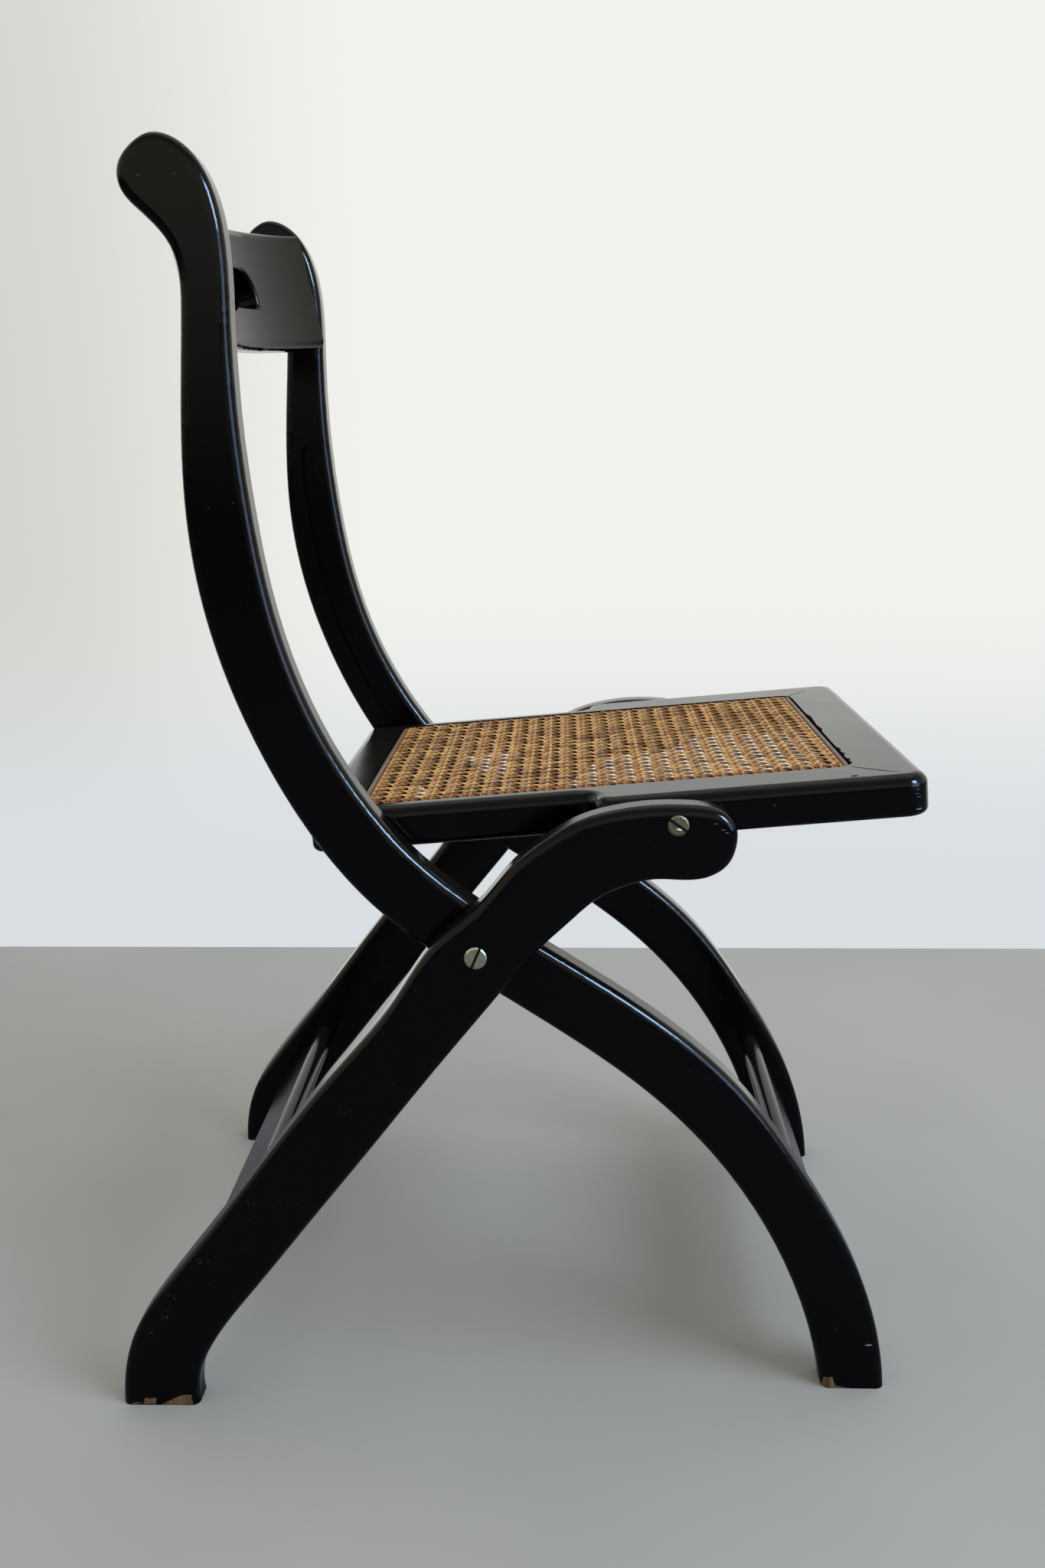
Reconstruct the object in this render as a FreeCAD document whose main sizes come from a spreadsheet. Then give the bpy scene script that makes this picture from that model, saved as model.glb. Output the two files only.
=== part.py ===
import FreeCAD, Part
import math
import os

# A folding side chair. Two S-shaped boards are the back stiles and the front legs in one,
# joined by a crest rail and a stretcher. Two outer boards are the rear legs and the arms,
# pivoted to the first pair where they cross. A caned seat hangs between the arms on two
# screws, and pins at its rear ride in grooves in the stiles. X points to the front, Y to
# the chair's left and Z up. The origin is on the floor, in the middle of the depth and
# width. All lengths are millimetres.

os.makedirs("parts", exist_ok=True)
doc = FreeCAD.newDocument("folding_chair")
sheet = doc.addObject("Spreadsheet::Sheet", "sizes")

driving = [
    # Whole chair
    ("overallDepth", 523.4),
    ("overallWidth", 417),
    ("overallHeight", 800),
    ("boardThickness", 25),
    ("boardEdgeRound", 6),
    ("boardGap", 1.5),
    ("glueClearance", 0.1),
    ("runningClearance", 0.06),
    ("cutOverrun", 2),
    # Seat frame
    ("seatThickness", 27),
    ("seatTopRound", 8),
    ("seatBottomRound", 5),
    ("seatFrontCornerRadius", 16),
    ("seatRearCornerRadius", 10),
    ("seatRearOverhang", 33),
    ("seatStepSetback", 37),
    ("seatStepLength", 26),
    ("frontRailWidth", 41.4),
    ("rearRailWidth", 31),
    ("sideRailWidth", 40),
    # Cane panel and the reed that holds it
    ("caneLedge", 9.5),
    ("caneThickness", 1.6),
    ("caneRebate", 1.2),
    ("caneHolePitch", 18),
    ("caneHoleSize", 11.5),
    ("reedWidth", 4.5),
    ("reedDepth", 6),
    ("reedProud", 0.6),
    ("reedTopRound", 1.2),
    ("reedFrontCornerRadius", 9),
    ("reedRearCornerRadius", 16),
    # Crest rail
    ("crestThickness", 19),
    ("crestHeight", 88),
    ("crestRise", 744),
    ("crestSetback", 5),
    ("crestSagitta", 40),
    ("crestEdgeRound", 6),
    ("handSlotLength", 158),
    ("handSlotHeight", 27.5),
    ("handSlotTopRadius", 20),
    ("handSlotBottomRadius", 4),
    ("handSlotEdgeRound", 2.5),
    # Stretchers and joinery
    ("stretcherHeight", 66),
    ("stretcherThickness", 16),
    ("stretcherRise", 85),
    ("stretcherTenonHeight", 46),
    ("crestTenonHeight", 52),
    ("tenonThickness", 9),
    ("tenonLength", 11),
    ("seatTenonWidth", 20),
    ("seatTenonThickness", 8),
    ("seatTenonLength", 12),
    ("dowelDiameter", 8),
    ("dowelLength", 30),
    # Slide grooves and pins
    ("grooveWidth", 10),
    ("grooveDepth", 7),
    ("grooveTop", 620),
    ("slidePinDiameter", 7),
    ("slidePinSeat", 12),
    ("slidePinTipGap", 0.3),
    # Pivot hardware
    ("pivotShankDiameter", 8),
    ("pivotHeadDiameter", 14),
    ("pivotHeadThickness", 3),
    ("pivotHeadProud", 0.7),
    ("seatShankDiameter", 7),
    ("seatHeadDiameter", 13),
    ("seatHeadThickness", 2.6),
    ("seatHeadProud", 0.2),
    ("headDome", 0.5),
    ("headGap", 0.3),
    ("screwSlotWidth", 1.8),
    ("screwSlotDepth", 1.4),
    ("nutFlangeDiameter", 15),
    ("nutFlangeThickness", 2),
    ("nutBarrelDiameter", 11),
    ("nutBarrelLength", 16),
    ("washerDiameter", 19),
    ("washerThickness", 1.3),
    ("sleeveDiameter", 11),
    ("sleeveLength", 22),
]
for row, (alias, value) in enumerate(driving, start=1):
    sheet.set("A%d" % row, alias)
    sheet.set("B%d" % row, str(value))
    sheet.setAlias("B%d" % row, alias)
doc.recompute()


def size(alias):
    return float(sheet.get(alias))


# Angles in degrees, seen from the chair's right.
crestLean = 12
pivotSlotAngle = 67
seatSlotAngle = -35

# The stile's middle runs between its rear or lower edge and its front or upper edge. Each
# pair is a station on the two edges, from the foot to where the scroll begins, in shares of
# the chair's depth and height.
stileStationShares = [
    ((0.3954, 0.000), (0.4757, 0.000)),
    ((0.3815, 0.044), (0.4668, 0.045)),
    ((0.3478, 0.107), (0.4321, 0.115)),
    ((0.2844, 0.181), (0.3647, 0.194)),
    ((0.1852, 0.255), (0.2784, 0.272)),
    ((0.0702, 0.313), (0.1406, 0.347)),
    ((-0.0577, 0.368), (-0.0082, 0.410)),
    ((-0.1688, 0.424), (-0.1133, 0.463)),
    ((-0.2471, 0.488), (-0.1797, 0.516)),
    ((-0.3066, 0.561), (-0.2313, 0.576)),
    ((-0.3488, 0.639), (-0.2700, 0.647)),
    ((-0.3696, 0.719), (-0.2928, 0.725)),
    ((-0.3706, 0.796), (-0.3047, 0.800)),
    ((-0.3634, 0.875), (-0.3076, 0.868)),
]
# The scroll, from the rear edge over the top to the front edge.
scrollShares = [
    (-0.3711, 0.922),
    (-0.4018, 0.946),
    (-0.4229, 0.962),
    (-0.4256, 0.9755),
    (-0.4078, 0.993),
    (-0.3860, 1.000),
    (-0.3552, 0.994),
    (-0.3324, 0.978),
    (-0.3166, 0.953),
    (-0.3086, 0.918),
]
# The rear leg and arm: up the back of the foot and along the top of the arm.
rearLegUpperShares = [
    (-0.5000, 0.000),
    (-0.4960, 0.031),
    (-0.4802, 0.065),
    (-0.4455, 0.101),
    (-0.3671, 0.167),
    (-0.2928, 0.232),
    (-0.2164, 0.295),
    (-0.1420, 0.354),
    (-0.0875, 0.405),
    (-0.0359, 0.435),
    (0.0057, 0.467),
    (0.0355, 0.483),
    (0.0850, 0.502),
    (0.1217, 0.509),
    (0.1654, 0.513),
    (0.2159, 0.513),
    (0.2487, 0.508),
    (0.2645, 0.496),
]
# Then round the arm's end, back along its underside and down to the foot.
rearLegLowerShares = [
    (0.2655, 0.483),
    (0.2556, 0.4665),
    (0.2268, 0.4555),
    (0.1673, 0.4545),
    (0.1386, 0.450),
    (0.1088, 0.4415),
    (0.0731, 0.422),
    (0.0374, 0.400),
    (-0.0151, 0.360),
    (-0.0954, 0.295),
    (-0.1708, 0.232),
    (-0.2471, 0.169),
    (-0.3255, 0.104),
    (-0.3810, 0.055),
    (-0.3969, 0.034),
    (-0.4018, 0.000),
]
centrePivotShare = (-0.0403, 0.3931)
seatPivotShare = (0.1966, 0.4984)
slidePinHeightShare = 0.4781


def place(share):
    """A point in the chair's side view, from its shares of the depth and height."""
    return FreeCAD.Vector(share[0] * size("overallDepth"), 0, share[1] * size("overallHeight"))


def splineThrough(points):
    """A smooth curve through the points."""
    curve = Part.BSplineCurve()
    curve.interpolate(points)
    return curve


def reaching(curve, height):
    """The parameter at which a curve that climbs with it reaches a height."""
    low = curve.FirstParameter
    high = curve.LastParameter
    for halving in range(50):
        guess = (low + high) / 2
        if curve.value(guess).z < height:
            low = guess
        else:
            high = guess
    return guess


def slopeAt(curve, parameter):
    """The angle of a side curve's tangent above the X axis, in degrees."""
    tangent = curve.tangent(parameter)[0]
    return math.degrees(math.atan2(tangent.z, tangent.x))


# Faces of the boards, as distances from the chair's middle plane.
rearLegOuter = size("overallWidth") / 2
rearLegInner = rearLegOuter - size("boardThickness")
stileOuter = rearLegInner - size("boardGap")
stileInner = stileOuter - size("boardThickness")
seatWideHalf = stileOuter
seatNarrowHalf = stileInner - size("boardGap")
stileSpan = "(sizes.overallWidth - 4 * sizes.boardThickness - 2 * sizes.boardGap)"
rearLegSpan = "(sizes.overallWidth - 2 * sizes.boardThickness)"

stileRearEdge = [place(rear) for rear, front in stileStationShares]
stileFrontEdge = [place(front) for rear, front in stileStationShares]
scroll = [place(share) for share in scrollShares]
stileOutline = stileRearEdge + scroll + stileFrontEdge[::-1]
stileMiddle = splineThrough(
    [(rear + front) / 2 for rear, front in zip(stileRearEdge, stileFrontEdge)])
rearLegUpper = [place(share) for share in rearLegUpperShares]
rearLegLower = [place(share) for share in rearLegLowerShares]

centrePivot = place(centrePivotShare)
seatPivot = place(seatPivotShare)
slidePinParameter = reaching(stileMiddle, slidePinHeightShare * size("overallHeight"))
slidePin = stileMiddle.value(slidePinParameter)
seatRake = math.degrees(math.atan2(seatPivot.z - slidePin.z, seatPivot.x - slidePin.x))
pinReach = (seatPivot - slidePin).Length

# Each stretcher lies in the middle of its legs and slopes as they do.
frontStretcherParameter = reaching(stileMiddle, size("stretcherRise"))
frontStretcherCentre = stileMiddle.value(frontStretcherParameter)
frontStretcherSlope = slopeAt(stileMiddle, frontStretcherParameter)
rearLegBack = splineThrough(rearLegUpper)
rearLegFront = splineThrough(rearLegLower[::-1])
rearLegBackParameter = reaching(rearLegBack, size("stretcherRise"))
rearLegFrontParameter = reaching(rearLegFront, size("stretcherRise"))
rearStretcherCentre = (rearLegBack.value(rearLegBackParameter)
                       + rearLegFront.value(rearLegFrontParameter)) / 2
rearStretcherSlope = slopeAt(rearLegBack, rearLegBackParameter)

# The crest rail's front face stands back from the stiles' front edges.
crestEdge = splineThrough(stileFrontEdge[-2:] + scroll[:-4:-1])
crestFront = crestEdge.value(reaching(crestEdge, size("crestRise")))
crestInset = size("crestSetback") + size("crestThickness") / 2
crestCentre = crestFront - FreeCAD.Vector(crestInset, 0, 0)

# The seat has a frame of its own: origin on the seat pivots' axis, X along the seat.
# Its front reaches the chair's full depth at the round along its lower front edge.
seatRise = math.sin(math.radians(seatRake))
seatRun = math.cos(math.radians(seatRake))
lowerRoundDrop = size("seatThickness") / 2 - size("seatBottomRound")
frontReach = size("overallDepth") / 2 - seatPivot.x - size("seatBottomRound")
seatFront = (frontReach - lowerRoundDrop * seatRise) / seatRun + size("seatBottomRound")
seatRear = -pinReach - size("seatRearOverhang")
seatStep = -size("seatStepSetback") - size("seatStepLength") / 2
reedFront = seatFront - size("frontRailWidth")
reedRear = seatRear + size("rearRailWidth")
reedHalf = seatWideHalf - size("sideRailWidth")
openingInset = size("reedWidth") + size("caneLedge")
openFront = reedFront - openingInset
openRear = reedRear + openingInset
openHalf = reedHalf - openingInset


def makeBody(label, placement=None):
    """A new piece under its own label."""
    body = doc.addObject("PartDesign::Body", label)
    body.Label = label
    if placement is not None:
        body.Placement = placement
    return body


def makeSketch(body, role, offset=0, turn=None):
    """A sketch on an origin plane of the piece, moved along the plane's normal."""
    sketch = body.newObject("Sketcher::SketchObject", body.Name + "_sketch")
    plane = [item for item in body.Origin.OriginFeatures if item.Role == role][0]
    sketch.AttachmentSupport = (plane, [""])
    sketch.MapMode = "FlatFace"
    if turn is None:
        turn = FreeCAD.Placement(FreeCAD.Vector(0, 0, offset), FreeCAD.Rotation())
    sketch.AttachmentOffset = turn
    return sketch


def flat(point):
    """A point of the side view as coordinates in a side sketch."""
    return FreeCAD.Vector(point.x, point.z, 0)


def addSmoothOutline(sketch, points):
    """A smooth curve through the points, in a few sides that meet flush, closed straight."""
    whole = splineThrough(points)
    knots = whole.getKnots()
    spansInSide = 6
    cuts = knots[:-spansInSide:spansInSide] + knots[-1:]
    for start, end in zip(cuts, cuts[1:]):
        side = whole.copy()
        side.segment(start, end)
        sketch.addGeometry(side, False)
    sketch.addGeometry(Part.LineSegment(points[-1], points[0]), False)


def addCircle(sketch, centre, radius):
    """A circle round a point of the sketch."""
    sketch.addGeometry(Part.Circle(centre, FreeCAD.Vector(0, 0, 1), radius), False)


def addPolygon(sketch, corners, radii=None):
    """A closed polygon; a corner with a radius is a right angle, rounded to it."""
    if radii is None:
        radii = [0] * len(corners)
    before = corners[-1:] + corners[:-1]
    after = corners[1:] + corners[:1]
    starts = []
    ends = []
    for last, corner, following, radius in zip(before, corners, after, radii):
        starts.append(corner + (last - corner).normalize() * radius)
        ends.append(corner + (following - corner).normalize() * radius)
    for corner, start, end, radius in zip(corners, starts, ends, radii):
        if radius > 0:
            centre = start + end - corner
            bulge = centre + (corner - centre).normalize() * radius
            sketch.addGeometry(Part.Arc(start, bulge, end), False)
    for end, start in zip(ends, starts[1:] + starts[:1]):
        sketch.addGeometry(Part.LineSegment(end, start), False)


def rectangle(lowX, highX, lowY, highY):
    """A rectangle's corners, anticlockwise from its low corner."""
    return [
        FreeCAD.Vector(lowX, lowY, 0),
        FreeCAD.Vector(highX, lowY, 0),
        FreeCAD.Vector(highX, highY, 0),
        FreeCAD.Vector(lowX, highY, 0),
    ]


def addLongSlot(sketch, centre, length, width, angle):
    """A slot with round ends; the angle is that of its long sides."""
    turn = FreeCAD.Rotation(FreeCAD.Vector(0, 0, 1), angle)
    along = turn.multVec(FreeCAD.Vector(1, 0, 0))
    across = turn.multVec(FreeCAD.Vector(0, width / 2, 0))
    for sign in (1, -1):
        middle = centre + along * (sign * (length - width) / 2)
        tip = centre + along * (sign * length / 2)
        opposite = centre - along * (sign * (length - width) / 2)
        sketch.addGeometry(Part.Arc(middle + across, tip, middle - across), False)
        sketch.addGeometry(Part.LineSegment(middle + across * sign, opposite + across * sign),
                           False)


def pad(body, sketch, length, against=False, bothWays=False):
    """Thickens a sketch to a length given as an expression."""
    feature = body.newObject("PartDesign::Pad", body.Name + "_pad")
    feature.Profile = sketch
    feature.Reversed = against
    feature.Midplane = bothWays
    feature.setExpression("Length", length)
    body.Tip = feature
    doc.recompute()


def pocket(body, sketch, depth, against=False, bothWays=False):
    """Cuts a sketch to a depth given as an expression, and makes sure that it cuts."""
    before = body.Shape.Volume
    feature = body.newObject("PartDesign::Pocket", body.Name + "_pocket")
    feature.Profile = sketch
    feature.Reversed = against
    feature.Midplane = bothWays
    feature.setExpression("Length", depth)
    body.Tip = feature
    doc.recompute()
    if not body.Shape.Volume < before:
        raise RuntimeError("%s: a pocket cuts nothing" % body.Label)


def roundEdges(body, chosen, radius):
    """Rounds the edges of a piece that a test chooses, in the piece's own frame."""
    inward = body.Placement.inverse()
    names = []
    for number, edge in enumerate(body.Shape.Edges, start=1):
        middle = edge.valueAt((edge.FirstParameter + edge.LastParameter) / 2)
        ends = [inward.multVec(vertex.Point) for vertex in edge.Vertexes]
        if chosen(inward.multVec(middle), ends):
            names.append("Edge%d" % number)
    carrier = body.Tip
    feature = body.newObject("PartDesign::Fillet", body.Name + "_fillet")
    feature.Base = (carrier, names)
    feature.setExpression("Radius", radius)
    body.Tip = feature
    doc.recompute()


def cutOutward(body, side, start, depth, add, *details):
    """A recess from a distance off the middle plane outwards; side is -1 right, 1 left."""
    # A side sketch faces the chair's right, and a pocket cuts against its sketch's normal.
    sketch = makeSketch(body, "XZ_Plane", -side * start)
    add(sketch, *details)
    pocket(body, sketch, depth, against=side < 0)


def makeSideBoard(label, outline, side, inner):
    """A board sawn to an outline, with both its long edges rounded over."""
    body = makeBody(label)
    sketch = makeSketch(body, "XZ_Plane", -side * inner)
    addSmoothOutline(sketch, [flat(point) for point in outline])
    pad(body, sketch, "sizes.boardThickness", against=side > 0)
    aboveFloor = size("boardEdgeRound") / 2
    roundEdges(body, lambda middle, ends: middle.z > aboveFloor
               and abs(ends[0].y - ends[-1].y) < size("glueClearance"),
               "sizes.boardEdgeRound")
    return body


def addSlideGroove(sketch):
    """The groove for the seat's pin, along the stile's middle from the pin at rest upwards."""
    radius = size("grooveWidth") / 2
    topParameter = reaching(stileMiddle, size("grooveTop"))
    stationCount = 7
    stride = (topParameter - slidePinParameter) / (stationCount - 1)
    rearSide = []
    frontSide = []
    for index in range(stationCount):
        parameter = slidePinParameter + index * stride
        tangent = stileMiddle.tangent(parameter)[0]
        across = FreeCAD.Vector(-tangent.z, 0, tangent.x) * radius
        rearSide.append(flat(stileMiddle.value(parameter) + across))
        frontSide.append(flat(stileMiddle.value(parameter) - across))
    bottom = slidePin - stileMiddle.tangent(slidePinParameter)[0] * radius
    top = stileMiddle.value(topParameter) + stileMiddle.tangent(topParameter)[0] * radius
    sketch.addGeometry(splineThrough(rearSide), False)
    sketch.addGeometry(Part.Arc(rearSide[-1], flat(top), frontSide[-1]), False)
    sketch.addGeometry(splineThrough(frontSide), False)
    sketch.addGeometry(Part.Arc(frontSide[0], flat(bottom), rearSide[0]), False)


def cutMortise(body, side, start, centre, tenonHeight, angle):
    """A round-ended mortise for a tenon of the given height."""
    fit = 2 * size("glueClearance")
    cutOutward(body, side, start, "sizes.tenonLength + sizes.glueClearance",
               addLongSlot, flat(centre), tenonHeight + fit, size("tenonThickness") + fit, angle)


def makeStile(label, side):
    """Back stile and front leg: slide groove, two mortises and the centre pivot's holes."""
    body = makeSideBoard(label, stileOutline, side, stileInner)
    fit = size("glueClearance")
    pivot = flat(centrePivot)
    cutOutward(body, side, stileInner, "sizes.grooveDepth", addSlideGroove)
    cutMortise(body, side, stileInner, crestCentre, size("crestTenonHeight"), 90 + crestLean)
    cutMortise(body, side, stileInner, frontStretcherCentre, size("stretcherTenonHeight"),
               frontStretcherSlope)
    cutOutward(body, side, stileInner, "sizes.nutFlangeThickness",
               addCircle, pivot, size("nutFlangeDiameter") / 2 + fit)
    cutOutward(body, side, stileInner, "sizes.nutBarrelLength + sizes.glueClearance",
               addCircle, pivot, size("nutBarrelDiameter") / 2 + fit)
    cutOutward(body, side, stileInner, "sizes.boardThickness + sizes.cutOverrun",
               addCircle, pivot, size("pivotShankDiameter") / 2 + fit)
    return body


def makeRearLeg(label, side):
    """Rear leg and arm: a mortise, and a running hole and head recess for each screw."""
    body = makeSideBoard(label, rearLegUpper + rearLegLower, side, rearLegInner)
    cutMortise(body, side, rearLegInner, rearStretcherCentre, size("stretcherTenonHeight"),
               rearStretcherSlope)
    for axis, name in ((centrePivot, "pivot"), (seatPivot, "seat")):
        hole = size(name + "ShankDiameter") / 2 + size("runningClearance")
        cutOutward(body, side, rearLegInner, "sizes.boardThickness + sizes.cutOverrun",
                   addCircle, flat(axis), hole)
        recess = size(name + "HeadDiameter") / 2 + size("headGap")
        cutOutward(body, side, headSeat(name) - size("headGap"), "sizes.boardThickness",
                   addCircle, flat(axis), recess)
    return body


def headSeat(name):
    """How far a screw head's underside is from the middle plane."""
    return rearLegOuter + size(name + "HeadProud") - size(name + "HeadThickness")


def makeStretcher(label, centre, slope, span):
    """A flat rail with half-round edges between two legs, and a tenon at each end."""
    body = makeBody(label)
    sketch = makeSketch(body, "XZ_Plane")
    addLongSlot(sketch, flat(centre), size("stretcherHeight"), size("stretcherThickness"), slope)
    pad(body, sketch, span, bothWays=True)
    tenon = makeSketch(body, "XZ_Plane")
    addLongSlot(tenon, flat(centre), size("stretcherTenonHeight"), size("tenonThickness"), slope)
    pad(body, tenon, span + " + 2 * sizes.tenonLength", bothWays=True)
    return body


def makeCrestRail():
    """The top rail: bent to an arc in plan, with a hand slot and a tenon at each end."""
    lean = FreeCAD.Rotation(FreeCAD.Vector(0, 1, 0), -crestLean)
    body = makeBody("crest_rail", FreeCAD.Placement(crestCentre, lean))
    front = size("crestThickness") / 2
    rear = -front
    sagitta = size("crestSagitta")
    frontEnds = [FreeCAD.Vector(front, sign * stileInner, 0) for sign in (-1, 1)]
    rearEnds = [FreeCAD.Vector(rear, sign * stileInner, 0) for sign in (-1, 1)]
    plan = makeSketch(body, "XY_Plane")
    plan.addGeometry(Part.Arc(frontEnds[0], FreeCAD.Vector(front - sagitta, 0, 0),
                              frontEnds[1]), False)
    plan.addGeometry(Part.LineSegment(frontEnds[1], rearEnds[1]), False)
    plan.addGeometry(Part.Arc(rearEnds[1], FreeCAD.Vector(rear - sagitta, 0, 0),
                              rearEnds[0]), False)
    plan.addGeometry(Part.LineSegment(rearEnds[0], frontEnds[0]), False)
    pad(body, plan, "sizes.crestHeight", bothWays=True)
    nearTop = size("crestHeight") / 2 - size("glueClearance")
    nearEnd = stileInner - size("glueClearance")
    roundEdges(body, lambda middle, ends: abs(middle.z) > nearTop and abs(middle.y) < nearEnd,
               "sizes.crestEdgeRound")
    slot = makeSketch(body, "YZ_Plane")
    halfLength = size("handSlotLength") / 2
    halfHeight = size("handSlotHeight") / 2
    bottomRadius = size("handSlotBottomRadius")
    topRadius = size("handSlotTopRadius")
    addPolygon(slot, rectangle(-halfLength, halfLength, -halfHeight, halfHeight),
               [bottomRadius, bottomRadius, topRadius, topRadius])
    pocket(body, slot, "2 * (sizes.crestSagitta + sizes.crestThickness + sizes.cutOverrun)",
           bothWays=True)
    slotReach = halfLength + size("glueClearance")
    slotRise = halfHeight + size("glueClearance")
    roundEdges(body, lambda middle, ends: abs(middle.z) < slotRise
               and abs(middle.y) < slotReach and abs(ends[0].x - ends[-1].x) < front,
               "sizes.handSlotEdgeRound")
    for side in (-1, 1):
        tenon = makeSketch(body, "XZ_Plane", -side * stileInner)
        addLongSlot(tenon, FreeCAD.Vector(0, 0, 0), size("crestTenonHeight"),
                    size("tenonThickness"), 90)
        pad(body, tenon, "sizes.tenonLength", against=side > 0)
    return body


seatPlacement = FreeCAD.Placement(seatPivot, FreeCAD.Rotation(FreeCAD.Vector(0, 1, 0), -seatRake))
mitreCornerCut = size("seatFrontCornerRadius") * (1 - math.sqrt(0.5))


def mitre(side, share):
    """A point on a front corner's mitre: share 0 is its inner end and share 1 its outer."""
    inner = FreeCAD.Vector(openFront, side * openHalf, 0)
    outer = FreeCAD.Vector(seatFront - mitreCornerCut, side * (seatWideHalf - mitreCornerCut), 0)
    return inner + (outer - inner) * share


def reedRadii(inset):
    """The corner radii of a rectangle inside the reed's outer edge, low corner first."""
    rear = size("reedRearCornerRadius") - inset
    front = size("reedFrontCornerRadius") - inset
    return [rear, front, front, rear]


def addReedRectangle(sketch, inset):
    """A rounded rectangle inside the reed's outer edge by an inset."""
    addPolygon(sketch, rectangle(reedRear + inset, reedFront - inset,
                                 -reedHalf + inset, reedHalf - inset), reedRadii(inset))


def makeSeatRail(label, region):
    """One rail of the seat frame: the whole rounded seat board, cut away outside a region."""
    body = makeBody(label, seatPlacement)
    halfThickness = size("seatThickness") / 2
    step = size("seatStepLength") / 2
    front = size("seatFrontCornerRadius")
    rear = size("seatRearCornerRadius")
    rightSide = [
        FreeCAD.Vector(seatRear, -seatNarrowHalf, 0),
        FreeCAD.Vector(seatStep, -seatNarrowHalf, 0),
        FreeCAD.Vector(seatStep, -seatWideHalf, 0),
        FreeCAD.Vector(seatFront, -seatWideHalf, 0),
    ]
    leftSide = [FreeCAD.Vector(corner.x, -corner.y, 0) for corner in rightSide[::-1]]
    board = makeSketch(body, "XY_Plane")
    addPolygon(board, rightSide + leftSide, [rear, step, step, front, front, step, step, rear])
    pad(body, board, "sizes.seatThickness", bothWays=True)
    nearFace = halfThickness - size("glueClearance")
    roundEdges(body, lambda middle, ends: middle.z > nearFace, "sizes.seatTopRound")
    roundEdges(body, lambda middle, ends: middle.z < -nearFace, "sizes.seatBottomRound")
    trim = makeSketch(body, "XY_Plane")
    reach = 2 * size("overallWidth")
    addPolygon(trim, rectangle(-reach, reach, -reach, reach))
    addPolygon(trim, region)
    pocket(body, trim, "2 * sizes.seatThickness", bothWays=True)
    rebate = makeSketch(body, "XY_Plane", halfThickness)
    addReedRectangle(rebate, 0)
    pocket(body, rebate, "sizes.caneRebate")
    groove = makeSketch(body, "XY_Plane", halfThickness)
    addReedRectangle(groove, 0)
    addReedRectangle(groove, size("reedWidth"))
    pocket(body, groove, "sizes.reedDepth")
    return body


def cutDowelHole(body, side):
    """The hole for the dowel across a front mitre."""
    middle = mitre(side, 0.5)
    along = mitre(side, 1) - mitre(side, 0)
    across = FreeCAD.Vector(-along.y, along.x, 0)
    turn = FreeCAD.Rotation(FreeCAD.Vector(0, 0, 1), across)
    sketch = makeSketch(body, "XY_Plane", turn=FreeCAD.Placement(middle, turn))
    addCircle(sketch, FreeCAD.Vector(0, 0, 0), size("dowelDiameter") / 2 + size("glueClearance"))
    pocket(body, sketch, "sizes.dowelLength + 2 * sizes.glueClearance", bothWays=True)


def makeDowel(label, side):
    """The dowel that holds a front mitre together."""
    along = mitre(side, 1) - mitre(side, 0)
    across = FreeCAD.Vector(-along.y, along.x, 0)
    turn = FreeCAD.Rotation(FreeCAD.Vector(0, 0, 1), across)
    body = makeBody(label, seatPlacement.multiply(FreeCAD.Placement(mitre(side, 0.5), turn)))
    sketch = makeSketch(body, "XY_Plane")
    addCircle(sketch, FreeCAD.Vector(0, 0, 0), size("dowelDiameter") / 2)
    pad(body, sketch, "sizes.dowelLength", bothWays=True)
    return body


rearTenonCentre = FreeCAD.Vector((seatRear + openRear) / 2, 0, 0)


def addSeatTenon(sketch, fit):
    """The rear rail's tenon in section, grown by a fit."""
    halfWidth = size("seatTenonWidth") / 2 + fit
    halfThickness = size("seatTenonThickness") / 2 + fit
    addPolygon(sketch, rectangle(rearTenonCentre.x - halfWidth, rearTenonCentre.x + halfWidth,
                                 -halfThickness, halfThickness))


def makeFrontRail():
    """The seat's front rail, mitred at both ends."""
    farShare = 2
    body = makeSeatRail("seat_front_rail",
                        [mitre(-1, 0), mitre(-1, farShare), mitre(1, farShare), mitre(1, 0)])
    for side in (-1, 1):
        cutDowelHole(body, side)
    return body


def makeRearRail():
    """The seat's rear rail, tenoned between the side rails."""
    behind = seatRear - size("cutOverrun")
    body = makeSeatRail("seat_rear_rail", rectangle(behind, openRear, -openHalf, openHalf))
    tenon = makeSketch(body, "XZ_Plane")
    addSeatTenon(tenon, 0)
    openWidth = "(sizes.overallWidth - 2 * (sizes.boardThickness + sizes.boardGap)"
    inset = " - 2 * (sizes.sideRailWidth + sizes.reedWidth + sizes.caneLedge))"
    pad(body, tenon, openWidth + inset + " + 2 * sizes.seatTenonLength", bothWays=True)
    return body


def makeSideRail(label, side):
    """A side rail of the seat, with its mortise and the holes for dowel, pin and sleeve."""
    farShare = 2
    behind = seatRear - size("cutOverrun")
    region = [
        FreeCAD.Vector(behind, side * openHalf, 0),
        mitre(side, 0),
        mitre(side, farShare),
        FreeCAD.Vector(behind, mitre(side, farShare).y, 0),
    ]
    body = makeSeatRail(label, region)
    cutDowelHole(body, side)
    fit = size("glueClearance")
    cutOutward(body, side, openHalf, "sizes.seatTenonLength + sizes.glueClearance",
               addSeatTenon, fit)
    pinHole = size("slidePinDiameter") / 2 + fit
    cutOutward(body, side, seatNarrowHalf - size("slidePinSeat"),
               "sizes.slidePinSeat + sizes.cutOverrun",
               addCircle, FreeCAD.Vector(-pinReach, 0, 0), pinHole)
    cutOutward(body, side, seatWideHalf - size("sleeveLength"),
               "sizes.sleeveLength + sizes.cutOverrun",
               addCircle, FreeCAD.Vector(0, 0, 0), size("sleeveDiameter") / 2 + fit)
    return body


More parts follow.
